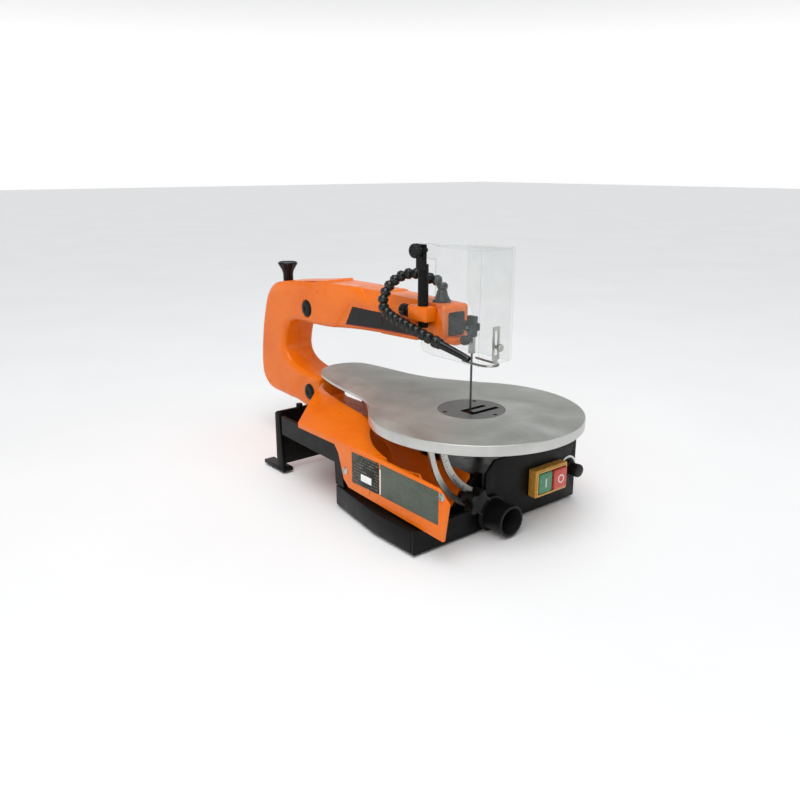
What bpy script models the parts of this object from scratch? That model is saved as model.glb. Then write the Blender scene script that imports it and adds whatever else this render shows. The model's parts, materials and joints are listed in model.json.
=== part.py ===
"""Bench scroll saw with parallel rocking arms, a tilting round table, a clear
blade guard and a segmented blower arm.

Design frame: X to the operator's right, Y to the rear, Z up, millimetres, with
the blade on x = 0, y = 0 and the floor at z = 0. The root empty moves this
frame so that the assembly's box is centred on the world origin, base on z = 0.
Every object sits at its own reference point, and each moving piece hangs from
an empty on its joint's axis.
"""

import math

import bmesh
import bpy
from mathutils import Matrix, Vector

# ---------------------------------------------------------------- dimensions
MM = 0.001
SHIFT = (3.25, -159.54)         # design frame to object frame, x and y
CLEAR = 0.3                    # gap between pieces that touch

TABLE_TOP = 128.0
TABLE_PLATE = 4.0
TABLE_RIM = 12.0
TABLE_R = 127.5
TABLE_C = (3.0, -6.0)
INSERT_R = 40.0

PIVOT_Y = 312.0                # both rocker pivots
UPPER_Z = 209.0
LOWER_Z = 85.0
ARM_TIP = -6.0
PIN_R = 5.0
BEARING_R = 11.0
ROD_Y = 403.0                  # tension rod behind the pivots

FRAME_W = 27.0                 # half width of the C-frame
HEAD_W = 20.0                  # half width of its front part
WALL = 3.5
HEAD_END = 137.0               # the wide part starts here
FRONT_Y = 27.0                 # front of the arm housing

UPPER_BLADE_PIN = 227.0
LOWER_BLADE_PIN = 97.0

POST = (-28.0, 55.0)           # guard post axis
POST_R = 6.3
GUARD_PIVOT_Z = 312.0
GUARD_W = 25.7                 # middle of its side walls
GUARD_T = 2.4

MOTOR = (200.0, 44.0)          # motor axis, y and z
CRANK_E = 3.0
CRANK_PIN_R = 3.5

KNOB_X, KNOB_Z = -55.6, 48.5   # tilt lock, on the trunnion slot's radius
PORT = (-20.5, 18.7)
PORT_R = 18.0

# -------------------------------------------------------------------- set-up
for old in list(bpy.data.objects):
    bpy.data.objects.remove(old, do_unlink=True)

PARTS = bpy.data.collections.new("scroll_saw")
CUTTERS = bpy.data.collections.new("cutters")
bpy.context.scene.collection.children.link(PARTS)
bpy.context.scene.collection.children.link(CUTTERS)


def material(name, colour, rough, metal=0.0, alpha=1.0):
    m = bpy.data.materials.new(name)
    m.use_nodes = True
    b = m.node_tree.nodes["Principled BSDF"]
    b.inputs["Base Color"].default_value = (*colour, 1.0)
    b.inputs["Roughness"].default_value = rough
    b.inputs["Metallic"].default_value = metal
    b.inputs["Alpha"].default_value = alpha
    return m


ORANGE = material("orange_enamel", (0.86, 0.22, 0.02), 0.35)
BLACK = material("black_enamel", (0.02, 0.02, 0.02), 0.5)
PLASTIC = material("black_plastic", (0.012, 0.012, 0.012), 0.45)
RUBBER = material("rubber", (0.02, 0.02, 0.02), 0.85)
ALU = material("table_aluminium", (0.62, 0.63, 0.61), 0.38, 0.9)
STEEL = material("steel", (0.5, 0.5, 0.5), 0.3, 1.0)
ZINC = material("zinc_plate", (0.7, 0.71, 0.7), 0.32, 1.0)
BRONZE = material("bearing_bronze", (0.45, 0.3, 0.12), 0.35, 1.0)
CLEARP = material("clear_plastic", (0.85, 0.9, 0.88), 0.05, 0.0, 0.3)
YELLOW = material("switch_yellow", (0.75, 0.42, 0.03), 0.4)
GREEN = material("button_green", (0.03, 0.28, 0.1), 0.35)
RED = material("button_red", (0.6, 0.03, 0.02), 0.35)

ANCHORS = {}


def empty(name, at, parent=None):
    e = bpy.data.objects.new(name, None)
    e.empty_display_size = 0.02
    PARTS.objects.link(e)
    ANCHORS[name] = (e, Vector(at))
    if parent:
        e.parent = ANCHORS[parent][0]
        e.location = (Vector(at) - ANCHORS[parent][1]) * MM
    else:
        e.location = (Vector(at) + Vector((SHIFT[0], SHIFT[1], 0))) * MM
    return e


empty("scroll_saw_frame", (0, 0, 0))
empty("upper_arm_axis", (0, PIVOT_Y, UPPER_Z), "scroll_saw_frame")
empty("lower_arm_axis", (0, PIVOT_Y, LOWER_Z), "scroll_saw_frame")
empty("blade_axis", (0, 0, 160), "scroll_saw_frame")
empty("tension_axis", (0, ROD_Y, 240), "scroll_saw_frame")
empty("motor_axis", (0, MOTOR[0], MOTOR[1]), "scroll_saw_frame")
empty("table_tilt_axis", (0, 0, TABLE_TOP), "scroll_saw_frame")
empty("post_axis", (POST[0], POST[1], 240), "scroll_saw_frame")
empty("guard_axis", (0, POST[1], GUARD_PIVOT_Z), "post_axis")
empty("hose_axis", (0, 53, 250), "scroll_saw_frame")


def place(obj, at, parent, mat, cutter=False):
    (CUTTERS if cutter else PARTS).objects.link(obj)
    holder, where = ANCHORS[parent]
    obj.parent = holder
    obj.location = (Vector(at) - where) * MM
    if cutter:
        obj.hide_render = True
        obj.display_type = "WIRE"
    elif mat:
        obj.data.materials.append(mat)
    return obj


def smooth(me):
    me.shade_smooth()
    me.set_sharp_from_angle(angle=math.radians(35))


def bevel(obj, width, segments=2, angle=40):
    b = obj.modifiers.new("edges", "BEVEL")
    b.width = width * MM
    b.segments = segments
    b.limit_method = "ANGLE"
    b.angle_limit = math.radians(angle)
    return obj


def box(name, lo, hi, mat=None, parent="scroll_saw_frame", edge=0.0, cutter=False, at=None):
    """A block from its lowest and highest corners."""
    lo, hi = Vector(lo), Vector(hi)
    at = Vector(at) if at is not None else (lo + hi) / 2
    me = bpy.data.meshes.new(name)
    bm = bmesh.new()
    bmesh.ops.create_cube(bm, size=1.0)
    size, mid = hi - lo, (lo + hi) / 2 - at
    bmesh.ops.scale(bm, vec=size * MM, verts=bm.verts)
    bmesh.ops.translate(bm, vec=mid * MM, verts=bm.verts)
    bm.to_mesh(me)
    bm.free()
    obj = place(bpy.data.objects.new(name, me), at, parent, mat, cutter)
    if edge:
        bevel(obj, edge)
    return obj


TURN = {
    "z": Matrix.Identity(4),
    "x": Matrix.Rotation(math.radians(90), 4, "Y"),
    "-x": Matrix.Rotation(math.radians(-90), 4, "Y"),
    "y": Matrix.Rotation(math.radians(-90), 4, "X"),
    "-y": Matrix.Rotation(math.radians(90), 4, "X"),
}


def turned(name, profile, at, axis="z", mat=None, parent="scroll_saw_frame", steps=20, cutter=False):
    """A turned piece. profile is (radius, height along the axis from at), top first."""
    me = bpy.data.meshes.new(name)
    closed = profile[0][0] > 0 and profile[-1][0] > 0
    pts = [Vector((r, 0, h)) * MM for r, h in profile]
    edges = [(i, i + 1) for i in range(len(pts) - 1)]
    if closed:
        edges.append((len(pts) - 1, 0))
    me.from_pydata(pts, edges, [])
    obj = place(bpy.data.objects.new(name, me), at, parent, mat, cutter)
    obj.rotation_euler = TURN[axis].to_euler()
    s = obj.modifiers.new("turn", "SCREW")
    s.axis = "Z"
    s.angle = math.radians(360)
    s.steps = s.render_steps = steps
    s.use_merge_vertices = True
    s.merge_threshold = 0.00001
    s.use_smooth_shade = True
    return obj


def cylinder(name, r, lo, hi, at, axis="z", mat=None, parent="scroll_saw_frame", steps=20, cutter=False):
    return turned(name, [(0, hi), (r, hi), (r, lo), (0, lo)], at, axis, mat, parent, steps, cutter)


def ring(name, inner, outer, lo, hi, at, axis="z", mat=None, parent="scroll_saw_frame", steps=20, cutter=False):
    return turned(name, [(outer, hi), (outer, lo), (inner, lo), (inner, hi)], at, axis, mat, parent, steps, cutter)


PLANE = {
    # columns are the outline's first and second direction and its thickness
    "x": Matrix(((0, 0, 1, 0), (1, 0, 0, 0), (0, 1, 0, 0), (0, 0, 0, 1))),     # (y, z) thick along x
    "y": Matrix(((1, 0, 0, 0), (0, 0, -1, 0), (0, 1, 0, 0), (0, 0, 0, 1))),    # (x, z) thick along y
    "z": Matrix.Identity(4),                                                  # (x, y) thick along z
}


def outline(name, pts, axis, lo, hi, mat=None, parent="scroll_saw_frame", edge=0.0, cutter=False, segments=2):
    """A flat outline given thickness from lo to hi along an axis, made a mesh so that it can be cut."""
    cu = bpy.data.curves.new(name + "_outline", "CURVE")
    cu.dimensions = "2D"
    cu.fill_mode = "BOTH"
    cu.extrude = (hi - lo) / 2 * MM
    cx = sum(p[0] for p in pts) / len(pts)
    cy = sum(p[1] for p in pts) / len(pts)
    sp = cu.splines.new("POLY")
    sp.points.add(len(pts) - 1)
    for point, (a, b) in zip(sp.points, pts):
        point.co = ((a - cx) * MM, (b - cy) * MM, 0, 1)
    sp.use_cyclic_u = True
    tmp = bpy.data.objects.new(name + "_curve", cu)
    bpy.context.scene.collection.objects.link(tmp)
    graph = bpy.context.evaluated_depsgraph_get()
    me = bpy.data.meshes.new_from_object(tmp.evaluated_get(graph))
    bpy.data.objects.remove(tmp, do_unlink=True)
    me.name = name
    me.transform(PLANE[axis])
    bm = bmesh.new()
    bm.from_mesh(me)
    bmesh.ops.remove_doubles(bm, verts=bm.verts, dist=0.000001)
    bmesh.ops.recalc_face_normals(bm, faces=bm.faces)
    bmesh.ops.dissolve_limit(bm, angle_limit=0.001, verts=bm.verts, edges=bm.edges)
    bm.to_mesh(me)
    bm.free()
    me.materials.clear()
    mid = (lo + hi) / 2
    at = {"x": (mid, cx, cy), "y": (cx, mid, cy), "z": (cx, cy, mid)}[axis]
    obj = place(bpy.data.objects.new(name, me), at, parent, mat, cutter)
    if edge:
        bevel(obj, edge, segments)
    return obj


def tube(name, pts, radius, mat, parent, resolution=2):
    """A tube on a POLY spline read from a smooth curve through pts."""
    cu = bpy.data.curves.new(name, "CURVE")
    cu.dimensions = "3D"
    cu.bevel_depth = radius * MM
    cu.bevel_resolution = resolution
    cu.use_fill_caps = True
    at = Vector(pts[0])
    sp = cu.splines.new("POLY")
    sp.points.add(len(pts) - 1)
    for point, p in zip(sp.points, pts):
        point.co = (*((Vector(p) - at) * MM), 1)
    return place(bpy.data.objects.new(name, cu), at, parent, mat)


def combine(obj, other, how="DIFFERENCE"):
    m = obj.modifiers.new(how.lower(), "BOOLEAN")
    m.object = other
    m.operation = how
    m.solver = "EXACT"
    return obj


def inset(pts, by):
    """The outline moved inwards by a distance, corner by corner."""
    area = sum(a[0] * b[1] - b[0] * a[1] for a, b in zip(pts, pts[1:] + pts[:1]))
    sign = 1 if area > 0 else -1
    out = []
    for i, p in enumerate(pts):
        a, b = Vector(pts[i - 1]), Vector(pts[(i + 1) % len(pts)])
        p = Vector(p)
        d1, d2 = (p - a).normalized(), (b - p).normalized()
        n1, n2 = Vector((-d1.y, d1.x)) * sign, Vector((-d2.y, d2.x)) * sign
        n = (n1 + n2) / max(1 + n1.dot(n2), 0.25)
        out.append(tuple(p + n * by))
    return out


def arc(cx, cy, r, a0, a1, n):
    return [(cx + r * math.cos(math.radians(a0 + (a1 - a0) * i / n)),
             cy + r * math.sin(math.radians(a0 + (a1 - a0) * i / n))) for i in range(n + 1)]


def smooth_path(pts, each):
    """Points along a Catmull-Rom curve through pts."""
    full = [Vector(pts[0]) * 2 - Vector(pts[1])] + [Vector(p) for p in pts] + [Vector(pts[-1]) * 2 - Vector(pts[-2])]
    out = []
    for i in range(1, len(full) - 2):
        a, b, c, d = full[i - 1:i + 3]
        for k in range(each):
            t = k / each
            out.append(0.5 * ((2 * b) + (c - a) * t + (2 * a - 5 * b + 4 * c - d) * t * t + (3 * b - a - 3 * c + d) * t ** 3))
    out.append(full[-2])
    return out


def mirrored(pts):
    return [(-a, b) for a, b in reversed(pts)]


# ------------------------------------------------------------------- outlines
def table_left(y):
    """How far the table's edge lies to the left of the tilt axis at y."""
    if y <= 86:
        reach = TABLE_R ** 2 - (y - TABLE_C[1]) ** 2
        return math.sqrt(reach) - TABLE_C[0] if reach > 0 else 0.0
    side = [(86, 84.6), (104, 76), (122, 70.5), (150, 66.5), (180, 62.5), (210, 57), (235, 50.5), (255, 43), (270, 33), (280, 20), (286, 4)]
    for (y0, x0), (y1, x1) in zip(side, side[1:]):
        if y <= y1:
            return x0 + (x1 - x0) * (y - y0) / (y1 - y0)
    return 0.0


TAIL_LEFT = [(-76, 104), (-70.5, 122), (-66.5, 150), (-62.5, 180), (-57, 210), (-50.5, 235), (-43, 255), (-33, 270), (-20, 280), (-4, 286)]
TAIL_RIGHT = [(11, 285.5), (24, 281), (35, 273), (41.5, 258), (45.5, 235), (48.5, 205), (53, 170), (63, 136), (78, 112)]
# counter-clockwise from the right of the disc, round the front, then the tail
disc = arc(TABLE_C[0], TABLE_C[1], TABLE_R, -226, 42, 44)
TABLE_OUTLINE = disc + list(reversed(TAIL_RIGHT)) + list(reversed(TAIL_LEFT))

C_OUTER = [
    (HEAD_END, 252.5), (262, 251.5), (374, 241.5), (403, 237), (418, 229), (427, 216), (434, 198), (443, 170), (449, 140),
    (452.5, 108), (451, 90), (445, 79), (434, 69.5), (421, 65.5), (382, 64.5), (345, 62), (312, 55), (294, 40), (62, 40),
    (62, 78), (289.5, 78), (289.5, 110), (314, 111), (346, 116), (368, 123.5), (380, 136), (378, 155), (370, 176),
    (360, 184), (344, 187), (301, 187.5), (262, 189), (217, 194), (183, 197), (HEAD_END, 199.5),
]
ARM_OUTER = [(FRONT_Y, 249), (150, 251.5), (150, 200), (99, 200.5), (66, 203), (FRONT_Y, 209)]

# --------------------------------------------------------------- base, fixed
tray_plan = [(-137, -55), (129, -55), (129, 12), (119, 107), (-123, 107), (-137, 12)]
tray = outline("base_tray", tray_plan, "z", 3, 30, BLACK, edge=2.5)
combine(tray, outline("cut_tray", inset(tray_plan, 5), "z", -5, 25.5, cutter=True))
combine(tray, box("cut_tray_slot", (-78, -49.8, 10), (48, -44, 40), cutter=True))

panel = outline("front_panel", [(129, 3), (129, 84), (-16, 84), (-30, 70), (-30, 34), (-137, 30), (-137, 3)],
                "y", -59, -55.3, BLACK, edge=1.0)
combine(panel, cylinder("cut_panel_port", 14.5, -10, 10, (PORT[0], -57, PORT[1]), "y", cutter=True))
combine(panel, cylinder("cut_panel_knob", 4.2, -10, 10, (114.6, -57, 44), "y", cutter=True))

stand = outline("rear_stand", [(-115.5, 9.5), (115.5, 9.5), (115.5, 86), (28.6, 86), (28.6, 36), (-28.6, 36), (-28.6, 86), (-115.5, 86)], "y", 252, 257, BLACK)
for side in (-1, 1):
    tag = "left" if side < 0 else "right"
    x0, x1 = sorted((side * 118, side * 113))
    combine(stand, outline(f"add_stand_flange_{tag}", [(256.2, 5), (256.2, 85), (245.5, 85), (240, 12), (240, 5)], "x", x0, x1, cutter=True), "UNION")
    f0, f1 = sorted((side * 118.6, side * 103.4))
    combine(stand, box(f"add_stand_foot_{tag}", (f0, 238.5, 3), (f1, 290, 8), cutter=True), "UNION")
    rail_side = [(88, 30.3), (106.5, 30.3), (108.5, 58), (239, 58), (239, 84), (104, 84), (96, 72)]
    centre = sum(p[0] for p in rail_side) / len(rail_side)
    slant = 4.6 / 132.0 if side < 0 else 0.0
    mid = side * 114.8 if side > 0 else -120.9 + (centre - 107) * slant
    rail = outline(f"rear_rail_{tag}", rail_side, "x", mid - 2.1, mid + 2.1, BLACK, edge=0.8)
    rail.rotation_euler = (0, 0, -math.atan(slant))
    bolt = side * 80
    combine(stand, cylinder(f"add_stand_bolt_{tag}", 5.0, -2, 4.5, (bolt, 254.5, 86), "z", cutter=True, steps=6), "UNION")
for name, x, y in (("foot_front_left", -118, -38), ("foot_front_right", 112, -38), ("foot_rear_left", -110.5, 271), ("foot_rear_right", 110.5, 271)):
    r = 7.0 if "rear" in name else 11.0
    turned(name, [(0, 2.7), (r, 2.7), (r, 0.8), (r - 1, 0), (0, 0)], (x, y, 0), "z", RUBBER, steps=16)

# ------------------------------------------------------------ C-frame halves
for side in (-1, 1):
    tag = "left" if side < 0 else "right"

    def span(inner, outer, s=side):
        return sorted((s * inner, s * outer))

    half = outline(f"frame_{tag}", C_OUTER, "x", *span(-6, FRAME_W), ORANGE, edge=0.0)
    combine(half, outline(f"add_arm_{tag}", ARM_OUTER, "x", *span(-6, HEAD_W), cutter=True), "UNION")
    bevel(half, 3.0, 2, 60)
    combine(half, outline(f"cut_cavity_{tag}", inset(C_OUTER, WALL), "x", *span(-3, FRAME_W - WALL), cutter=True))
    combine(half, outline(f"cut_arm_{tag}", inset(ARM_OUTER, WALL), "x", *span(-3, HEAD_W - WALL), cutter=True))
    # the cavity runs on from the wide part into the head, and both ends are open for the arms
    combine(half, box(f"cut_throat_{tag}", (min(span(-3, HEAD_W - WALL)), 125, 206), (max(span(-3, HEAD_W - WALL)), 155, 245), cutter=True))
    combine(half, box(f"cut_window_{tag}", (min(span(-3, 15)), 20, 214), (max(span(-3, 15)), 40, 244), cutter=True))
    combine(half, box(f"cut_tunnel_{tag}", (min(span(-3, FRAME_W - WALL)), 50, 43.5), (max(span(-3, FRAME_W - WALL)), 80, 74.5), cutter=True))
    for level in (UPPER_Z, LOWER_Z):
        cup = [(0, 9.5), (9.5, 9.5), (9.5, -8), (PIN_R + 0.3, -8), (PIN_R + 0.3, 8.2), (0, 8.2)]
        combine(half, turned(f"add_boss_{tag}_{level:.0f}", cup, (side * 17.0, PIVOT_Y, level), "x" if side > 0 else "-x", cutter=True), "UNION")
        turned(f"{'upper' if level == UPPER_Z else 'lower'}_pivot_cap_{tag}", [(0, 3.2), (8, 3.2), (11.5, 1.8), (12, 0), (0, 0)],
               (side * (FRAME_W + CLEAR), PIVOT_Y, level), "x" if side > 0 else "-x", PLASTIC, steps=20)
    # the two halves meet on the centre plane
    combine(half, box(f"cut_seam_{tag}", (min(span(-30, 0.2)), 0, 0), (max(span(-30, 0.2)), 500, 400), cutter=True))
    # clearance hole for the tension knob's neck
    combine(half, cylinder(f"cut_tension_{tag}", 10.0, -20, 20, (0, ROD_Y, 238), "z", cutter=True))
    if side > 0:
        combine(half, box("cut_crank_slot", (9.4, MOTOR[0] - 16, 30), (34, MOTOR[0] + 16, 72), cutter=True))

for word, level in (("upper", UPPER_Z), ("lower", LOWER_Z)):
    cylinder(f"{word}_pivot_pin", PIN_R, -23, 23, (0, PIVOT_Y, level), "x", STEEL)
    ring(f"{word}_bearing", PIN_R + 0.06, BEARING_R, -6.5, 6.5, (0, PIVOT_Y, level), "x", BRONZE, f"{word}_arm_axis")

# --------------------------------------------------------------- side covers


def swept(name, gap, front=-140.0):
    """The solid the table's edge sweeps as it tilts, standing off it by gap, from front to the rear."""
    pts = [(0, -front), (38, -front)] if front < -134 else [(0, -front)]
    for k in range(64):
        y = -133.5 + k * 6.8
        if y <= front:
            continue
        if y > 288:
            break
        if len(pts) == 1:
            pts.append((math.hypot(max(table_left(front), 20), TABLE_RIM) + gap, -front))
        pts.append((math.hypot(max(table_left(y), 20), TABLE_RIM) + gap, -y))
    pts += [(24, -291), (0, -291)]
    return turned(name, pts, (0, 0, TABLE_TOP), "-y", steps=72, cutter=True)


TROUGH_FRONT = -43.0
left = outline("side_cover_left", mirrored([(128, 20), (128, 91.5), (60, 107), (28, 107), (28, 103.5), (60, 103.5), (124.6, 87.5), (124.6, 20)]),
               "y", TROUGH_FRONT, 276, ORANGE)
combine(left, box("add_cover_wall", (-128, -110, 20), (-124.6, -30, 91.5), cutter=True), "UNION")
combine(left, outline("keep_cover_left", [(-95.5, 31), (72, 38), (82, 46), (92, 76), (100, 85), (290, 85), (290, 110), (20, 110), (20, 91.6), (-87, 87.5), (-102.6, 75)],
                      "x", -140, -20, cutter=True), "INTERSECT")
combine(left, outline("cut_cover_rear_left", [(-140, 170), (-128, 181), (-36, 266), (-20, 281), (-20, 320), (-140, 320)], "z", 50, 130, cutter=True))
trough = swept("add_trough", 3.9, TROUGH_FRONT)
combine(trough, outline("keep_trough_wedge", [(-127.4, 101), (-127.4, -30), (-126, -22.4), (-40, 63.6), (-40, 106)], "y", -60, 262, cutter=True), "INTERSECT")
combine(trough, outline("keep_trough_under", [(-127.4, 31), (-127.4, 90.8), (-60, 106), (-28, 106), (-28, 31)], "y", -70, 262, cutter=True), "INTERSECT")
combine(left, trough, "UNION")
room = swept("cut_table_room", 1.5)
combine(room, outline("keep_room_wedge", [(-200, 140), (-200, -91), (-10, 99), (-10, 140)], "y", -150, 300, cutter=True), "INTERSECT")
combine(left, room)

right = outline("side_cover_right", [(125, 20), (125, 91.5), (60, 107), (28, 107), (28, 103.5), (60, 103.5), (121.6, 87.5), (121.6, 20)], "y", -54.5, 276, ORANGE)
combine(right, outline("keep_cover_right", [(-54, 31), (72, 38), (82, 46), (92, 76), (100, 85), (290, 85), (290, 110), (-54, 110)], "x", 20, 140, cutter=True), "INTERSECT")
combine(right, outline("cut_cover_rear_right", [(140, 170), (128, 181), (36, 266), (20, 281), (20, 320), (140, 320)], "z", 50, 130, cutter=True))
bevel(right, 1.2, 2, 50)
for name, y, z in (("cover_screw_front", -93, 80.5), ("cover_screw_rear", 78, 57)):
    turned(name, [(0, 2.4), (3.2, 2.2), (4.4, 1.2), (4.6, 0), (0, 0)], (-128.3, y, z), "-x", ZINC, steps=14)

# ------------------------------------------------------------- rocking arms
upper = outline("upper_arm", [(ARM_TIP, 222.5), (36, 222), (60, 219), (200, 208), (296, 194), (330, 195), (395, 203), (414, 205), (414, 213),
                              (395, 215), (330, 223), (296, 224.5), (200, 229), (60, 234), (36, 232.3), (ARM_TIP, 231.5)], "x", -7, 7, STEEL, "upper_arm_axis", edge=1.0)
lower = outline("lower_arm", [(ARM_TIP, 91), (12, 89), (50, 53.5), (200, 53), (286, 55), (300, 68), (328, 70), (395, 79), (414, 81),
                              (414, 89), (395, 91), (328, 100), (305, 100), (297.5, 93), (296.6, 74), (286, 66.3), (200, 66), (56, 65.5), (22, 96), (12, 103), (ARM_TIP, 103)],
                "x", -7, 7, STEEL, "lower_arm_axis", edge=1.0)
for word, arm, level, pin in (("upper", upper, UPPER_Z, UPPER_BLADE_PIN), ("lower", lower, LOWER_Z, LOWER_BLADE_PIN)):
    axis = f"{word}_arm_axis"
    combine(arm, cylinder(f"cut_{word}_hub", BEARING_R + 0.1, -20, 20, (0, PIVOT_Y, level), "x", parent=axis, cutter=True))
    combine(arm, cylinder(f"cut_{word}_eye", 5.6, -30, 30, (0, ROD_Y, level), "z", parent=axis, cutter=True, steps=16))
    combine(arm, box(f"cut_{word}_fork", (-3.5, -20, pin - 20), (3.5, 9.5, pin + 20), parent=axis, cutter=True))
    combine(arm, cylinder(f"cut_{word}_tip", 2.9, -20, 20, (0, 0, pin), "x", parent=axis, cutter=True, steps=12))
    cylinder(f"{word}_blade_pin", 2.0, -8.5, 8.5, (0, 0, pin), "x", STEEL, "blade_axis", steps=12)
# wrist pin boss for the connecting rod, on the lower arm's right
combine(lower, cylinder("add_wrist_pin", 3.0, -4, 8.5, (8, MOTOR[0], 59.5), "x", parent="lower_arm_axis", cutter=True, steps=16), "UNION")

# blade, its holders and their clamp screws
for word, lo, hi, pin, slot, screw in (("upper", 207, 240, UPPER_BLADE_PIN, (200, 217), 212.5), ("lower", 84, 113, LOWER_BLADE_PIN, (104, 120), 108.5)):
    holder = box(f"{word}_blade_holder", (-3.1, -6, lo), (3.1, 6.5, hi), STEEL, "blade_axis", edge=0.8)
    combine(holder, cylinder(f"cut_{word}_holder_pin", 2.05, -20, 20, (0, 0, pin), "x", parent="blade_axis", cutter=True, steps=12))
    combine(holder, box(f"cut_{word}_holder_slot", (-0.75, -1.9, slot[0]), (0.75, 1.9, slot[1]), parent="blade_axis", cutter=True))
    turned(f"{word}_clamp_screw", [(0, 11), (4.6, 11), (5.4, 10), (5.4, 4.2), (4.2, 3.2), (2.2, 3.2), (2.2, 0), (0, 0)],
           (-3.4 if word == "upper" else 3.4, 0.5, screw), "-x" if word == "upper" else "x", PLASTIC, "blade_axis", steps=16)
box("blade", (-0.35, -1.5, 105), (0.35, 1.5, 216), STEEL, "blade_axis")

# tension rod and its knob
turned("tension_rod", [(0, 216.2), (3.6, 216.2), (3.6, 78), (8, 78), (8, 72.2), (0, 72.2)], (0, ROD_Y, 0), "z", STEEL, "tension_axis", steps=16)
turned("tension_knob", [(0, 265.5), (13, 265.5), (14.5, 264), (14.3, 261), (8.2, 250), (7.6, 246), (7.6, 216.5), (0, 216.5)],
       (0, ROD_Y, 0), "z", PLASTIC, "tension_axis", steps=20)

# --------------------------------------------------------- motor and its rod
motor = ring("motor_housing", 24, 36, -34, 34, (70, MOTOR[0], MOTOR[1]), "x", BLACK, steps=24)
combine(motor, turned("add_end_bell", [(30, -32), (30, -38), (7.2, -38), (7.2, -32)], (70, MOTOR[0], MOTOR[1]), "x", steps=24, cutter=True), "UNION")
turned("motor_rotor", [(0, 40), (4, 40), (4, 30), (21, 30), (21, -28), (7, -28), (7, -46), (12, -46), (12, -51), (0, -51)],
       (70, MOTOR[0], MOTOR[1]), "x", STEEL, "motor_axis", steps=24)
crank = bpy.data.objects["motor_rotor"]
combine(crank, cylinder("add_crank_pin", CRANK_PIN_R, -8, 0.5, (19, MOTOR[0], MOTOR[1] + CRANK_E), "x", parent="motor_axis", cutter=True, steps=16), "UNION")
rod_x = 13.0
rod = outline("connecting_rod", arc(MOTOR[0], MOTOR[1], 13.0, 160, 380, 14) + arc(MOTOR[0], 59.5, 6.4, 30, 150, 6), "x", rod_x - 2, rod_x + 2, ALU, "scroll_saw_frame")
combine(rod, cylinder("cut_big_end", 10.2, -20, 20, (rod_x, MOTOR[0], MOTOR[1]), "x", cutter=True, steps=24))
combine(rod, cylinder("cut_small_end", 3.9, -20, 20, (rod_x, MOTOR[0], 59.5), "x", cutter=True, steps=16))

# bellows that feed the blower, and the mains inlet
turned("air_bellows", [(0, 243 - 12)] + [(r, 231 - 3.0 * i) for i, r in enumerate((14, 10.5, 14))] + [(0, 225)], (0, 262, 6), "z", RUBBER, steps=20)
turned("power_inlet", [(0, 16), (5, 16), (7, 4), (10, 3.2), (10, 0), (0, 0)], (84, 257.3, 62), "y", RUBBER, steps=16)

# ----------------------------------------------------------------- the table
table = outline("table", TABLE_OUTLINE, "z", TABLE_TOP - TABLE_RIM, TABLE_TOP, ALU, "table_tilt_axis")
bevel(table, 1.5, 2, 60)
combine(table, outline("cut_table_under", inset(TABLE_OUTLINE, 5.0), "z", TABLE_TOP - 20, TABLE_TOP - TABLE_PLATE, parent="table_tilt_axis", cutter=True))
# the tail behind the neck has no rim
combine(table, outline("cut_table_tail", [(84, 100), (106, TABLE_TOP - TABLE_PLATE + 0.4), (310, TABLE_TOP - TABLE_PLATE + 0.4), (310, 100)], "x", -95, 95, parent="table_tilt_axis", cutter=True))
combine(table, cylinder("cut_table_step", INSERT_R + CLEAR, -1.9, 10, (1.4, -0.6, TABLE_TOP), "z", parent="table_tilt_axis", steps=40, cutter=True))
combine(table, cylinder("cut_table_hole", INSERT_R - 4, -10, 10, (1.4, -0.6, TABLE_TOP), "z", parent="table_tilt_axis", steps=40, cutter=True))
insert = cylinder("table_insert", INSERT_R, -1.6, -0.1, (1.4, -0.6, TABLE_TOP), "z", ALU, "table_tilt_axis", steps=40)
combine(insert, box("cut_insert_slot", (-14, -4, TABLE_TOP - 6), (30, 3.5, TABLE_TOP + 6), parent="table_tilt_axis", cutter=True))

# trunnion plate, on a circle about the tilt axis, with its curved slot
flat = TABLE_TOP - TABLE_PLATE - CLEAR
a_out = math.degrees(math.asin((TABLE_TOP - flat) / 108.0))
a_in = math.degrees(math.asin((TABLE_TOP - flat) / 84.0))
trunnion = outline("tilt_trunnion", arc(0, TABLE_TOP, 108, 180 + a_out, 242, 18) + arc(0, TABLE_TOP, 84, 242, 180 + a_in, 16), "y", -48.6, -45.6, ZINC, "table_tilt_axis")
combine(trunnion, outline("cut_trunnion_slot", arc(0, TABLE_TOP, 101.2, 188, 238.5, 16) + arc(0, TABLE_TOP, 92.8, 238.5, 188, 14), "y", -60, -30, parent="table_tilt_axis", cutter=True))
bracket = outline("tilt_bracket", [(-66, 30.3), (-66, 36), (-34, 66), (-22, 66), (-22, 30.3)], "y", -45.2, -36, BLACK, edge=0.8)
combine(bracket, cylinder("cut_bracket_screw", 3.6, -20, 20, (KNOB_X, -40, KNOB_Z - 0.0), "y", cutter=True, steps=16))
lobes = []
for k in range(24):
    a = math.radians(k * 15)
    r = 13.5 + 2.5 * math.cos(5 * a)
    lobes.append((KNOB_X + r * math.cos(a), KNOB_Z + r * math.sin(a)))
tilt_knob = outline("tilt_lock_knob", lobes, "y", -78, -64, PLASTIC, edge=1.0)
combine(tilt_knob, cylinder("add_knob_screw", 3.2, -17, 9.6, (KNOB_X, -53, KNOB_Z), "y", cutter=True, steps=16), "UNION")
combine(tilt_knob, cylinder("add_knob_collar", 8.0, -2, 12, (KNOB_X, -66, KNOB_Z), "y", cutter=True, steps=16), "UNION")

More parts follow.
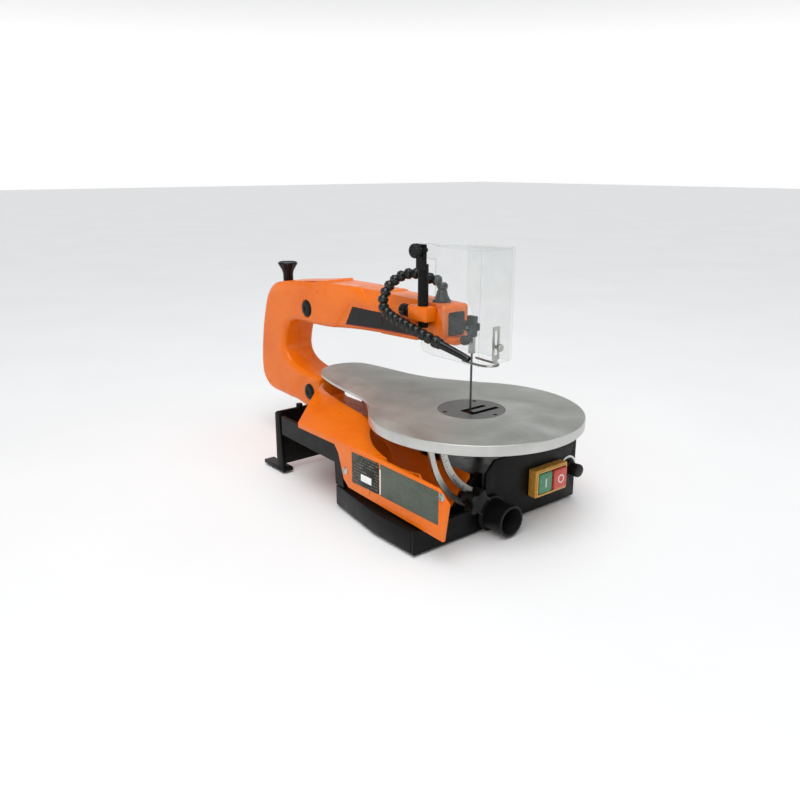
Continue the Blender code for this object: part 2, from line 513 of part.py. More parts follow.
# -------------------------------------------------------- controls and port
port = turned("dust_port", [(PORT_R, 33), (PORT_R - 0.4, 3), (PORT_R + 3, 3), (PORT_R + 3, 0), (14.6, 0), (PORT_R - 2.6, 33)],
              (PORT[0], -59.3, PORT[1] + 2.6), "-y", PLASTIC, steps=28)
frame = box("switch_frame", (42, -71, 25), (98, -59.3, 59), YELLOW, edge=0.8)
combine(frame, box("cut_switch", (45.2, -80, 28.2), (94.8, -61.6, 55.8), cutter=True))
box("start_button", (46, -73, 29), (69.4, -64.4, 55), GREEN, edge=1.2)
box("stop_button", (70.6, -74.5, 29), (94, -64.4, 55), RED, edge=1.2)
turned("speed_knob", [(0, 18.5), (7.0, 18.5), (8.2, 17.3), (8.4, 6), (9.4, 5), (9.4, 0.6), (3.6, 0.6), (3.6, -6), (0, -6)], (114.6, -59.2, 44), "-y", PLASTIC, steps=20)

# ------------------------------------------------- guard, its post, hold-down
block = box("post_block", (-37, 39.5, 230), (-20.3, 73, 247.5), ORANGE, edge=1.5)
combine(block, cylinder("cut_post_block", POST_R + 0.12, -40, 40, (POST[0], POST[1], 236), "z", cutter=True, steps=20))
combine(block, cylinder("cut_post_screw", 3.0, -2, 20, (POST[0], POST[1] + 6, 238), "y", cutter=True, steps=12))
turned("post_lock_knob", [(0, 20), (6.5, 20), (7.5, 18.5), (7.5, 8), (4.5, 7), (2.7, 7), (2.7, -11), (0, -11)], (POST[0], 73.3, 238), "y", PLASTIC, steps=16)
post = cylinder("guard_post", POST_R, 222, 296, (POST[0], POST[1], 0), "z", BLACK, "post_axis", steps=20)
combine(post, box("add_post_head", (-34, 48.7, 290), (-28.4, 61.3, 319), parent="post_axis", cutter=True), "UNION")
combine(post, cylinder("cut_post_head", 2.9, -20, 20, (POST[0], POST[1], GUARD_PIVOT_Z), "x", parent="post_axis", cutter=True, steps=12))

guard_side = [(-38.5, 320), (66, 320), (66, 303), (37, 303), (37, 254), (31, 244), (24, 232), (21.5, 215), (30, 212), (52, 212), (60, 207), (62, 199), (57, 192), (40, 190), (-38.5, 190)]
guard_body = [(-38.5, 320), (37, 320), (37, 254), (31, 244), (24, 232), (21.5, 215), (30, 212), (52, 212), (60, 207), (62, 199), (57, 192), (40, 190), (-38.5, 190)]
half_w = GUARD_W + GUARD_T / 2
guard = outline("blade_guard", guard_body, "x", -half_w, half_w, CLEARP, "guard_axis")
bevel(guard, 2.0, 2, 70)
combine(guard, box("cut_guard", (-half_w + GUARD_T, -38.5 + GUARD_T, 150), (half_w - GUARD_T, 90, 320 - GUARD_T), parent="guard_axis", cutter=True))
combine(guard, outline("add_guard_tab", [(30, 319.8), (64, 319.8), (66, 317), (66, 306), (62, 303), (30, 303)], "x", -half_w, -half_w + GUARD_T, parent="guard_axis", cutter=True), "UNION")
combine(guard, cylinder("cut_guard_tab", 2.9, -20, 20, (-half_w, POST[1], GUARD_PIVOT_Z), "x", parent="guard_axis", cutter=True, steps=12))
combine(guard, cylinder("cut_guard_front", 2.9, -20, 20, (4, -38, 209), "y", parent="guard_axis", cutter=True, steps=12))
turned("guard_knob", [(0, 10), (6.8, 10), (8, 8.5), (8, 2), (6, 0.6), (2.5, 0.6), (2.5, -11.5), (0, -11.5)], (-34.5, POST[1], GUARD_PIVOT_Z), "-x", PLASTIC, "guard_axis", steps=16)
bar = box("hold_down_bar", (-1, -35.6, 194), (9, -33.6, 232), ZINC, "guard_axis")
combine(bar, box("cut_bar", (1.2, -60, 199), (6.8, -10, 228), parent="guard_axis", cutter=True))
turned("hold_down_screw", [(0, 8), (5, 8), (6, 7), (6, 2.5), (2.4, 2.5), (2.4, -8), (0, -8)], (4, -39, 209), "-y", PLASTIC, "guard_axis", steps=14)
foot = smooth_path([(-7, 8, 187), (-7, -8, 186.5), (-6.5, -24, 186.5), (-3, -33, 187), (4, -35.8, 187), (11, -33, 187), (14.5, -24, 186.5), (15, -8, 186.5), (15, 8, 187)], 3)
tube("hold_down_foot", foot, 1.4, STEEL, "guard_axis", 1)
combine(bar, box("add_bar_toe", (1.8, -35.8, 189.0), (6.2, -33.2, 196), parent="guard_axis", cutter=True), "UNION")

# ------------------------------------------------------------- blower hose
HOSE = [(0, 53, 264.4), (0, 53.4, 267.4), (-1.8, 59, 273.5), (-7, 72, 277), (-15, 87, 281), (-25, 100, 277), (-35, 109, 266), (-42, 112, 252),
        (-45, 108, 240), (-46, 95, 232.5), (-46, 78, 228), (-45, 58, 223), (-43, 40, 218), (-40, 24, 213)]
turned("hose_base", [(0, 13.2), (5.8, 13.2), (6.5, 7), (9.5, 1.5), (9.5, 0), (0, 0)], (0, 53, 250), "z", PLASTIC, "hose_axis", steps=16)
tube("blower_hose", smooth_path(HOSE, 2), 5.6, PLASTIC, "hose_axis", 2)
start, way = Vector((-39.8, 23.0, 212.7)), Vector((-30.2, -27, 198)) - Vector((-39.8, 23.0, 212.7))
nozzle = turned("blower_nozzle", [(0, way.length), (2.6, way.length), (3.2, way.length - 4), (5.4, 10), (6.0, 0.8), (0, 0.8)], tuple(start), "z", PLASTIC, "hose_axis", steps=16)
nozzle.rotation_euler = way.to_track_quat("Z", "Y").to_euler()

for obj in PARTS.objects:
    if obj.type == "MESH" and obj.data.polygons:
        smooth(obj.data)
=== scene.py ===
"""The looks of a bench scroll saw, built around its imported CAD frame."""

import json
import math

import bmesh
import bpy
import numpy as np
from mathutils import Matrix, Vector
from mathutils.geometry import delaunay_2d_cdt


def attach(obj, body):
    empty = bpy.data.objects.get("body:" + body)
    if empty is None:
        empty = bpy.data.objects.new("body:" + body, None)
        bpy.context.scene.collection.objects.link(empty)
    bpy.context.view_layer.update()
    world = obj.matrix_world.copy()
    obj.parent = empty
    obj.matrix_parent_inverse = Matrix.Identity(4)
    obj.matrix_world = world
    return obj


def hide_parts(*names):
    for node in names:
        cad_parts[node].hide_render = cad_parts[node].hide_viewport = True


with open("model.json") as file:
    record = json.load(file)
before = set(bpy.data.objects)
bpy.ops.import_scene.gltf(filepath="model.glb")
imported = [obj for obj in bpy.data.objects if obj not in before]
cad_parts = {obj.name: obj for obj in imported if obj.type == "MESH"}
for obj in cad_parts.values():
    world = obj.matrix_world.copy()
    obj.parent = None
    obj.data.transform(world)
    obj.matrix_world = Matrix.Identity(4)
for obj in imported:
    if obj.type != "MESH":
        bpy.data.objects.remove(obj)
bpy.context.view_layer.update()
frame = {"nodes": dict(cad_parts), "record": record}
NODES = frame["nodes"]
BODY = {n: b for b, ns in frame["record"]["behaviour"]["bodies"].items() for n in ns}

SHIFT = Vector((3.25, -159.54, 0.0))      # millimetre design frame (blade on x = 0, y = 0) to the row frame


def P(x, y, z):
    return (Vector((x, y, z)) + SHIFT) / 1000


# ------------------------------------------------------------------ camera
cam_data = bpy.data.cameras.new("camera")
cam_data.lens = 35.78
cam_data.sensor_width = 36
camera = bpy.data.objects.new("camera", cam_data)
bpy.context.scene.collection.objects.link(camera)
camera.location = P(-634.1, -648.9, 406.4)
camera.rotation_euler = (P(-26.4, 100, 121.1) - camera.location).to_track_quat("-Z", "Y").to_euler()
bpy.context.scene.camera = camera
bpy.context.scene.view_settings.view_transform = "Standard"


# --------------------------------------------------------------- materials
class Mat:
    """A Principled material with a few helpers for its procedural inputs."""

    def __init__(self, name, colour, rough=0.5, metal=0.0, **sockets):
        self.m = bpy.data.materials.new(name)
        self.m.use_nodes = True
        self.nt = self.m.node_tree
        self.b = self.nt.nodes["Principled BSDF"]
        self.b.inputs["Base Color"].default_value = (*colour, 1)
        self.b.inputs["Roughness"].default_value = rough
        self.b.inputs["Metallic"].default_value = metal
        for k, v in sockets.items():
            self.b.inputs[k.replace("_", " ")].default_value = v
        self.coord = self.nt.nodes.new("ShaderNodeTexCoord").outputs["Object"]
        self.heights = []

    def node(self, kind, **props):
        n = self.nt.nodes.new("ShaderNode" + kind)
        for k, v in props.items():
            setattr(n, k, v)
        return n

    def link(self, a, b):
        self.nt.links.new(a, b)

    def mapped(self, scale=(1, 1, 1), rot=(0, 0, 0), loc=(0, 0, 0)):
        n = self.node("Mapping")
        n.inputs["Scale"].default_value = scale
        n.inputs["Rotation"].default_value = rot
        n.inputs["Location"].default_value = loc
        self.link(self.coord, n.inputs["Vector"])
        return n.outputs["Vector"]

    def noise(self, scale, detail=3, rough=0.55, vec=None, distortion=0.0):
        n = self.node("TexNoise")
        n.inputs["Scale"].default_value = scale
        n.inputs["Detail"].default_value = detail
        n.inputs["Roughness"].default_value = rough
        n.inputs["Distortion"].default_value = distortion
        self.link(vec if vec is not None else self.coord, n.inputs["Vector"])
        return n.outputs["Fac"]

    def voronoi(self, scale, vec=None, feature="F1"):
        n = self.node("TexVoronoi", feature=feature)
        n.inputs["Scale"].default_value = scale
        self.link(vec if vec is not None else self.coord, n.inputs["Vector"])
        return n.outputs["Distance"]

    def ramp(self, fac, stops):
        n = self.node("ValToRGB")
        e = n.color_ramp.elements
        while len(e) < len(stops):
            e.new(0.5)
        for el, (pos, col) in zip(e, stops):
            el.position = pos
            el.color = (*col, 1) if isinstance(col, tuple) else (col, col, col, 1)
        self.link(fac, n.inputs["Fac"])
        return n.outputs["Color"]

    def span(self, fac, lo, hi, a=0.0, b=1.0):
        n = self.node("MapRange")
        for k, v in (("From Min", a), ("From Max", b), ("To Min", lo), ("To Max", hi)):
            n.inputs[k].default_value = v
        self.link(fac, n.inputs["Value"])
        return n.outputs["Result"]

    def math(self, op, a, b=None):
        n = self.node("Math", operation=op)
        for i, v in enumerate((a, b)):
            if v is None:
                continue
            if isinstance(v, (int, float)):
                n.inputs[i].default_value = v
            else:
                self.link(v, n.inputs[i])
        return n.outputs["Value"]

    def axis(self, which, vec=None):
        n = self.node("SeparateXYZ")
        self.link(vec if vec is not None else self.coord, n.inputs[0])
        return n.outputs[which]

    def mix(self, fac, a, b):
        n = self.node("Mix", data_type="RGBA")
        for sock, v in ((n.inputs[0], fac), (n.inputs[6], a), (n.inputs[7], b)):
            if isinstance(v, tuple):
                sock.default_value = (*v, 1)
            elif isinstance(v, (int, float)):
                sock.default_value = v
            else:
                self.link(v, sock)
        return n.outputs[2]

    # mask of the sharp convex edges, used to paint a lighter edge highlight
    def edges(self, lo=0.51, hi=0.6):
        return self.span(self.node("NewGeometry").outputs["Pointiness"], 0, 1, lo, hi)

    def colour(self, out):
        self.link(out, self.b.inputs["Base Color"])
        return self

    def rough(self, fac, lo, hi, a=0.3, b=0.7):
        self.link(self.span(fac, lo, hi, a, b), self.b.inputs["Roughness"])
        return self

    def bump(self, height, strength, distance):
        n = self.node("Bump")
        n.inputs["Strength"].default_value = strength
        n.inputs["Distance"].default_value = distance
        self.link(height, n.inputs["Height"])
        if self.heights:
            self.link(self.heights[-1].outputs["Normal"], n.inputs["Normal"])
        self.heights.append(n)
        self.link(n.outputs["Normal"], self.b.inputs["Normal"])
        return self


def painted(name, base, light, dark, rough, coat, peel=0.12, spec=0.35):
    k = Mat(name, base, rough[0], 0.0, Coat_Weight=coat, Coat_Roughness=0.12, Specular_IOR_Level=spec)
    big, mid = k.noise(14, 4), k.noise(150, 3)
    c = k.mix(k.span(big, 0, 1, 0.35, 0.65), dark, base)
    c = k.mix(k.math("MULTIPLY", k.span(mid, 0, 1, 0.45, 0.8), 0.25), c, light)
    c = k.mix(k.math("MULTIPLY", k.span(k.noise(420, 3), 0, 1, 0.6, 0.75), 0.12), c, dark)
    k.colour(c).rough(k.noise(60, 4), rough[0], rough[1])
    k.bump(k.noise(1500, 2), peel, 0.00025)
    k.bump(k.noise(35, 2), 0.15, 0.0006)
    return k.m


def moulded(name, base, light, rough, grain=1300, strength=0.18, spec=0.22):
    k = Mat(name, base, rough[0], 0.0, Specular_IOR_Level=spec)
    c = k.mix(k.span(k.noise(40, 4), 0, 1, 0.35, 0.7), base, light)
    # painted highlight: sharp edges are coloured lighter
    c = k.mix(k.math("MULTIPLY", k.edges(0.53, 0.62), 0.45), c, tuple(min(1, v * 3 + 0.02) for v in light))
    k.colour(c).rough(k.noise(90, 4), rough[0], rough[1])
    k.bump(k.voronoi(grain), strength, 0.0002)
    return k.m


def machined(name, base, dark, rough, stretch=(4, 260, 260), metal=1.0, strength=0.15):
    k = Mat(name, base, rough[0], metal)
    lines = k.noise(8, 6, 0.65, k.mapped(stretch))
    c = k.mix(k.span(k.noise(25, 4), 0, 1, 0.3, 0.75), dark, base)
    c = k.mix(k.math("MULTIPLY", k.span(lines, 0, 1, 0.35, 0.65), 0.35), c, tuple(v * 0.75 for v in base))
    k.colour(c).rough(lines, rough[0], rough[1])
    k.bump(lines, strength, 0.0001)
    return k.m


ORANGE = painted("orange_gloss", (0.82, 0.165, 0.002), (0.92, 0.24, 0.006), (0.74, 0.13, 0.001), (0.26, 0.38), 0.12, 0.12, 0.25)
# painted shade: the head's inside, which lies in shadow, is coloured near black
SHADE_IN = painted("cavity_painted_shade", (0.03, 0.016, 0.008), (0.05, 0.025, 0.01), (0.015, 0.008, 0.004), (0.5, 0.65), 0.0, 0.1, 0.15)
# painted shade: a darker copy of the orange, rougher and without coat, for the housing's inner walls
ORANGE_IN_SHADE = painted("orange_inside_painted_shade", (0.62, 0.10, 0.002), (0.75, 0.14, 0.005), (0.5, 0.07, 0.001), (0.45, 0.6), 0.0)
BLACK = painted("black_powder", (0.003, 0.0032, 0.003), (0.010, 0.0105, 0.010), (0.0015, 0.0017, 0.0015), (0.33, 0.48), 0.03, 0.35, 0.14)
PLASTIC = moulded("black_moulded", (0.004, 0.004, 0.004), (0.009, 0.009, 0.009), (0.3, 0.42), 1300, 0.18, 0.14)
KNOB = moulded("black_knob", (0.003, 0.003, 0.003), (0.008, 0.008, 0.008), (0.2, 0.32), 900, 0.08, 0.18)
HOSE = moulded("black_hose", (0.002, 0.0025, 0.0025), (0.006, 0.008, 0.0075), (0.10, 0.2), 500, 0.04, 0.4)
RUBBER = moulded("rubber_black", (0.015, 0.015, 0.015), (0.035, 0.035, 0.035), (0.7, 0.9), 700, 0.3)
STEEL = machined("bright_steel", (0.46, 0.46, 0.45), (0.3, 0.3, 0.3), (0.22, 0.4))
BLADE = machined("blade_steel", (0.16, 0.16, 0.17), (0.07, 0.07, 0.075), (0.3, 0.5), (200, 200, 4))
ZINC = machined("zinc_plate", (0.62, 0.62, 0.58), (0.42, 0.42, 0.39), (0.25, 0.45), (60, 60, 60))
BRONZE = machined("bronze", (0.45, 0.28, 0.10), (0.3, 0.18, 0.06), (0.3, 0.45))
DARKSTEEL = machined("dark_steel", (0.05, 0.065, 0.062), (0.02, 0.03, 0.028), (0.25, 0.45))


def table_metal():
    k = Mat("ground_aluminium", (0.5, 0.5, 0.47), 0.4, 0.85)
    lines = k.noise(6, 7, 0.7, k.mapped((9, 520, 60), (0, 0, 0.55)), 0.15)
    cross = k.noise(6, 5, 0.6, k.mapped((300, 12, 60), (0, 0, 0.2)))
    # random mottle of darker and lighter grey, with darker patches spread across the top
    cloud = k.noise(11, 5, 0.6, None, 0.6)
    dark_patches = k.noise(22, 4, 0.5, k.mapped((1, 1, 1), (0, 0, 0), (0.3, 0.1, 0)))
    c = k.mix(k.span(cloud, 0, 1, 0.3, 0.7), (0.36, 0.37, 0.33), (0.62, 0.64, 0.60))
    c = k.mix(k.math("MULTIPLY", k.span(dark_patches, 0, 1, 0.55, 0.75), 0.4), c, (0.27, 0.265, 0.235))
    c = k.mix(k.math("MULTIPLY", k.span(lines, 0, 1, 0.4, 0.62), 0.22), c, (0.74, 0.75, 0.72))
    k.colour(c)
    k.link(k.span(k.math("ADD", cloud, k.math("MULTIPLY", lines, 0.5)), 0.34, 0.56, 0.5, 1.0), k.b.inputs["Roughness"])
    k.bump(lines, 0.12, 0.0001)
    k.bump(cross, 0.05, 0.0001)
    return k.m


TABLE = table_metal()
RIM = machined("turned_rim", (0.66, 0.665, 0.64), (0.5, 0.5, 0.48), (0.24, 0.4), (30, 30, 900), 0.95, 0.2)
INSERT = machined("insert_aluminium", (0.30, 0.295, 0.285), (0.2, 0.2, 0.195), (0.35, 0.5), (240, 12, 60), 0.9)


def clear_plastic():
    k = Mat("clear_plastic", (0.80, 0.86, 0.83), 0.04, 0.0, Specular_IOR_Level=0.8)
    lw = k.node("LayerWeight")
    lw.inputs["Blend"].default_value = 0.35
    haze = k.noise(30, 4)
    edge = k.math("POWER", lw.outputs["Facing"], 3.0)
    a = k.math("ADD", k.math("MULTIPLY", edge, 0.55), k.span(haze, 0.035, 0.085, 0.35, 0.7))
    k.link(a, k.b.inputs["Alpha"])
    k.colour(k.mix(edge, (0.52, 0.58, 0.56), (0.22, 0.28, 0.26)))
    k.link(k.span(haze, 0.03, 0.09, 0.3, 0.7), k.b.inputs["Roughness"])
    k.bump(k.noise(120, 2), 0.02, 0.0002)
    return k.m


CLEAR = clear_plastic()


def clear_edge():
    """The edges of the clear moulding, which gather light and look darker."""
    k = Mat("clear_plastic_edge", (0.30, 0.36, 0.34), 0.12, 0.0, Specular_IOR_Level=0.8)
    haze = k.noise(70, 3)
    k.colour(k.mix(k.span(haze, 0, 1, 0.3, 0.7), (0.10, 0.13, 0.125), (0.26, 0.31, 0.29)))
    k.link(k.span(haze, 0.55, 0.85, 0.3, 0.7), k.b.inputs["Alpha"])
    k.bump(k.noise(300, 2), 0.05, 0.0002)
    return k.m


CLEAR_RIM = clear_edge()


def gloss_plastic(name, base, light, alpha=1.0):
    k = Mat(name, base, 0.25, 0.0, Coat_Weight=0.3, Coat_Roughness=0.1)
    c = k.mix(k.span(k.noise(120, 4), 0, 1, 0.35, 0.7), base, light)
    # painted highlight: sharp edges are coloured lighter
    k.colour(k.mix(k.math("MULTIPLY", k.edges(), 0.3), c, tuple(min(1, v * 1.5 + 0.05) for v in light)))
    k.rough(k.noise(200, 3), 0.2, 0.34)
    k.bump(k.noise(900, 2), 0.05, 0.0002)
    return k.m


YELLOW = gloss_plastic("switch_yellow", (0.62, 0.28, 0.03), (0.72, 0.36, 0.06))
GREEN = gloss_plastic("button_green", (0.03, 0.20, 0.09), (0.07, 0.30, 0.15))
RED = gloss_plastic("button_red", (0.52, 0.035, 0.02), (0.7, 0.09, 0.06))
WHITE = gloss_plastic("marking_white", (0.72, 0.73, 0.71), (0.8, 0.81, 0.8))



def decal(name, base, light, rough=(0.25, 0.35)):
    k = Mat(name, base, rough[0], 0.0, Specular_IOR_Level=0.25)
    k.colour(k.mix(k.span(k.noise(60, 4), 0, 1, 0.3, 0.7), base, light)).rough(k.noise(90, 3), *rough)
    k.bump(k.noise(500, 2), 0.03, 0.0001)
    return k.m


STICKER = decal("sticker_black", (0.003, 0.0026, 0.0026), (0.006, 0.005, 0.005))


def label_print(name, ground, ink, row, seed, cover):
    """Print too fine to read: rows of short dashes."""
    k = Mat(name, ground, 0.35, 0.0, Specular_IOR_Level=0.2)
    y, z = k.axis("Y"), k.axis("Z")
    rows = k.math("FRACT", k.math("MULTIPLY", z, 1 / row))
    line = k.math("MULTIPLY", k.math("GREATER_THAN", rows, 0.35), k.math("LESS_THAN", rows, 0.78))
    which = k.math("FLOOR", k.math("MULTIPLY", z, 1 / row))
    comb = k.node("CombineXYZ")
    k.link(k.math("MULTIPLY", y, 900), comb.inputs[0])
    k.link(k.math("ADD", k.math("MULTIPLY", which, 3.7), seed), comb.inputs[1])
    words = k.math("GREATER_THAN", k.noise(0.55, 2, 0.8, comb.outputs[0]), 0.5)
    length = k.node("CombineXYZ")
    k.link(k.math("MULTIPLY", y, 26), length.inputs[0])
    k.link(k.math("MULTIPLY", which, 1.3), length.inputs[1])
    some = k.math("GREATER_THAN", k.noise(1.0, 1, 0.5, length.outputs[0]), cover)
    fac = k.math("MULTIPLY", k.math("MULTIPLY", line, words), some)
    c = k.mix(k.span(k.noise(45, 3), 0, 1, 0.3, 0.7), ground, tuple(v * 1.5 for v in ground))
    k.colour(k.mix(fac, c, ink))
    k.rough(k.noise(80, 3), 0.28, 0.4)
    k.bump(k.noise(900, 2), 0.04, 0.0001)
    return k.m


REDLINE = decal("line_red", (0.26, 0.018, 0.01), (0.34, 0.03, 0.015))
LABEL_A = label_print("label_rating", (0.018, 0.018, 0.014), (0.15, 0.14, 0.11), 0.0036, 2.0, 0.42)
LABEL_B = label_print("label_notes", (0.062, 0.074, 0.056), (0.10, 0.115, 0.095), 0.0030, 7.0, 0.36)


# ------------------------------------------------------------ mesh helpers
MADE = []


def finish_mesh(bm, name, mat, angle=32, doubles=True):
    if doubles:
        bmesh.ops.remove_doubles(bm, verts=bm.verts, dist=0.0000005)
    bmesh.ops.recalc_face_normals(bm, faces=bm.faces)
    me = bpy.data.meshes.new(name)
    bm.to_mesh(me)
    bm.free()
    me.shade_smooth()
    me.set_sharp_from_angle(angle=math.radians(angle))
    obj = bpy.data.objects.new(name, me)
    bpy.context.scene.collection.objects.link(obj)
    if mat:
        me.materials.append(mat)
    return obj


def piece(obj, body, *nodes, slot=None):
    """The object rides on a body and stands for these CAD nodes."""
    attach(obj, body)
    if nodes:
        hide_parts(*nodes)
    MADE.append(obj.name)
    return obj


def baked(obj):
    """The object with its modifiers made into its mesh."""
    graph = bpy.context.evaluated_depsgraph_get()
    me = bpy.data.meshes.new_from_object(obj.evaluated_get(graph))
    obj.modifiers.clear()
    obj.data = me
    return obj


def boolean(obj, other, how="DIFFERENCE"):
    m = obj.modifiers.new("b", "BOOLEAN")
    m.object, m.operation, m.solver = other, how, "EXACT"
    m.material_mode = "TRANSFER"
    baked(obj)
    bpy.data.objects.remove(other, do_unlink=True)
    return obj


def bevel(obj, width, segments=3, angle=40, sharp=32, material=-1):
    m = obj.modifiers.new("edges", "BEVEL")
    m.material = material
    m.width, m.segments, m.limit_method, m.angle_limit = width / 1000, segments, "ANGLE", math.radians(angle)
    m.use_clamp_overlap = True
    baked(obj)
    obj.data.shade_smooth()
    obj.data.set_sharp_from_angle(angle=math.radians(sharp))
    return obj


def cad_copy(node, mat, width=0.6, segments=3, angle=35, name=None, sharp=32, rim=None, merge=True):
    """A CAD node's own shape with its edges rounded off, and the rounded edges in rim if it is given."""
    bm = bmesh.new()
    bm.from_mesh(NODES[node].data)
    bmesh.ops.remove_doubles(bm, verts=bm.verts, dist=0.000002)
    if merge:
        bmesh.ops.dissolve_limit(bm, angle_limit=math.radians(0.6), verts=bm.verts, edges=bm.edges)
    obj = finish_mesh(bm, name or node + "_fine", mat, sharp, False)
    if rim:
        obj.data.materials.append(rim)
    if width:
        bevel(obj, width, segments, angle, sharp, 1 if rim else -1)
    return piece(obj, BODY[node], node)


def fillet(pts, radius, n=5):
    """A closed outline with each corner turned into a curve. radius is one number or a dict by corner index."""
    out = []
    for i, p in enumerate(pts):
        a, p, c = Vector(pts[i - 1]), Vector(p), Vector(pts[(i + 1) % len(pts)])
        r = radius.get(i, radius["all"]) if isinstance(radius, dict) else radius
        da, dc = min(r, (a - p).length * 0.48), min(r, (c - p).length * 0.48)
        s, e = p + (a - p).normalized() * da, p + (c - p).normalized() * dc
        for k in range(n + 1):
            t = k / n
            out.append(tuple(s * (1 - t) ** 2 + p * 2 * t * (1 - t) + e * t * t))
    return [q for i, q in enumerate(out) if math.dist(q, out[i - 1]) > 0.04]


def inset(pts, by):
    area = sum(a[0] * b[1] - b[0] * a[1] for a, b in zip(pts, pts[1:] + pts[:1]))
    sign = 1 if area > 0 else -1
    out = []
    for i, p in enumerate(pts):
        a, b, p = Vector(pts[i - 1]), Vector(pts[(i + 1) % len(pts)]), Vector(p)
        d1, d2 = (p - a), (b - p)
        d1 = d1.normalized() if d1.length else d2.normalized()
        d2 = d2.normalized() if d2.length else d1
        n1, n2 = Vector((-d1.y, d1.x)) * sign, Vector((-d2.y, d2.x)) * sign
        out.append(tuple(p + (n1 + n2) / max(1 + n1.dot(n2), 0.35) * by))
    return out


def on(axis, a, b, t):
    return {"x": P(t, a, b), "y": P(a, t, b), "z": P(a, b, t)}[axis]


def plate(name, pts, axis, levels, mat, angle=32):
    """An outline given thickness through levels of (inset, place along the axis)."""
    bm = bmesh.new()
    rings = []
    for by, t in levels:
        ring = inset(pts, by) if by else pts
        rings.append([bm.verts.new(on(axis, a, b, t)) for a, b in ring])
    n = len(pts)
    for lo, hi in zip(rings, rings[1:]):
        for i in range(n):
            bm.faces.new((lo[i], lo[(i + 1) % n], hi[(i + 1) % n], hi[i]))
    bm.faces.new(rings[0][::-1])
    bm.faces.new(rings[-1])
    return finish_mesh(bm, name, mat, angle, False)


def rounded(lo, hi, r, n=4, both=True):
    """Levels for plate(): rounded edges of radius r at the high end, and at the low end too if both."""
    top = [(r * (1 - math.cos(math.radians(90 * k / n))), hi - math.copysign(r, hi - lo) * (1 - math.sin(math.radians(90 * k / n)))) for k in range(n + 1)]
    low = [(b, lo + hi - t) for b, t in reversed(top)] if both else [(0, lo)]
    return low + top


def box(name, lo, hi, mat, r=0.6, n=3, axis="z"):
    keep = {"x": (1, 2, 0), "y": (0, 2, 1), "z": (0, 1, 2)}[axis]
    a0, b0, t0 = (lo[k] for k in keep)
    a1, b1, t1 = (hi[k] for k in keep)
    pts = fillet([(a0, b0), (a1, b0), (a1, b1), (a0, b1)], r * 1.4, n)
    return plate(name, pts, axis, rounded(t0, t1, r, n), mat)


def lathe(name, profile, at, way, mat, steps=32, shape=None, angle=32, bm=None, close=False):
    """A turned solid: profile of (radius, height) from at along way. shape(turn, radius, height) may vary the radius."""
    own = bm is None
    bm = bm or bmesh.new()
    turn = Vector(way).to_track_quat("Z", "Y").to_matrix()
    base = P(*at)
    rings = []
    for r, h in profile:
        if r <= 0:
            rings.append([bm.verts.new(base + turn @ Vector((0, 0, h)) / 1000)])
            continue
        ring = []
        for k in range(steps):
            a = 2 * math.pi * k / steps
            rr = shape(a, r, h) if shape else r
            ring.append(bm.verts.new(base + turn @ Vector((rr * math.cos(a), rr * math.sin(a), h)) / 1000))
        rings.append(ring)
    pairs = list(zip(rings, rings[1:])) + ([(rings[-1], rings[0])] if close else [])
    for lo, hi in pairs:
        for k in range(steps):
            j = (k + 1) % steps
            if len(lo) == 1 and len(hi) == 1:
                continue
            if len(lo) == 1:
                bm.faces.new((lo[0], hi[j], hi[k]))
            elif len(hi) == 1:
                bm.faces.new((lo[k], lo[j], hi[0]))
            else:
                bm.faces.new((lo[k], lo[j], hi[j], hi[k]))
    return finish_mesh(bm, name, mat, angle, False) if own else None


def curve_points(pts, each):
    full = [Vector(pts[0]) * 2 - Vector(pts[1])] + [Vector(p) for p in pts] + [Vector(pts[-1]) * 2 - Vector(pts[-2])]
    out = []
    for i in range(1, len(full) - 2):
        a, b, c, d = full[i - 1:i + 3]
        for k in range(each):
            t = k / each
            out.append(0.5 * ((2 * b) + (c - a) * t + (2 * a - 5 * b + 4 * c - d) * t * t + (3 * b - a - 3 * c + d) * t ** 3))
    out.append(full[-2])
    return out


def tube(name, pts, r, mat, steps=10, each=5):
    path = curve_points(pts, each)
    bm = bmesh.new()
    rings, side = [], None
    for i, p in enumerate(path):
        way = (path[min(i + 1, len(path) - 1)] - path[max(i - 1, 0)]).normalized()
        side = (way.orthogonal() if side is None else side - way * side.dot(way)).normalized()
        other = way.cross(side)
        rings.append([bm.verts.new(P(*(p + (side * math.cos(a) + other * math.sin(a)) * r))) for a in (2 * math.pi * k / steps for k in range(steps))])
    for lo, hi in zip(rings, rings[1:]):
        for k in range(steps):
            bm.faces.new((lo[k], lo[(k + 1) % steps], hi[(k + 1) % steps], hi[k]))
    bm.faces.new(rings[0][::-1])
    bm.faces.new(rings[-1])
    return finish_mesh(bm, name, mat, 40, False)


def joined(name, objs):
    """Several shapes in one mesh, materials kept."""
    bm = bmesh.new()
    mats = []
    for o in objs:
        before = len(bm.faces)
        bm.from_mesh(o.data)
        bm.faces.ensure_lookup_table()
        for f in bm.faces[before:]:
            mat = o.data.materials[f.material_index]
            if mat not in mats:
                mats.append(mat)
            f.material_index = mats.index(mat)
    me = bpy.data.meshes.new(name)
    bm.to_mesh(me)
    bm.free()
    for m in mats:
        me.materials.append(m)
    me.shade_smooth()
    me.set_sharp_from_angle(angle=math.radians(34))
    obj = bpy.data.objects.new(name, me)
    bpy.context.scene.collection.objects.link(obj)
    for o in objs:
        bpy.data.objects.remove(o, do_unlink=True)
    return obj


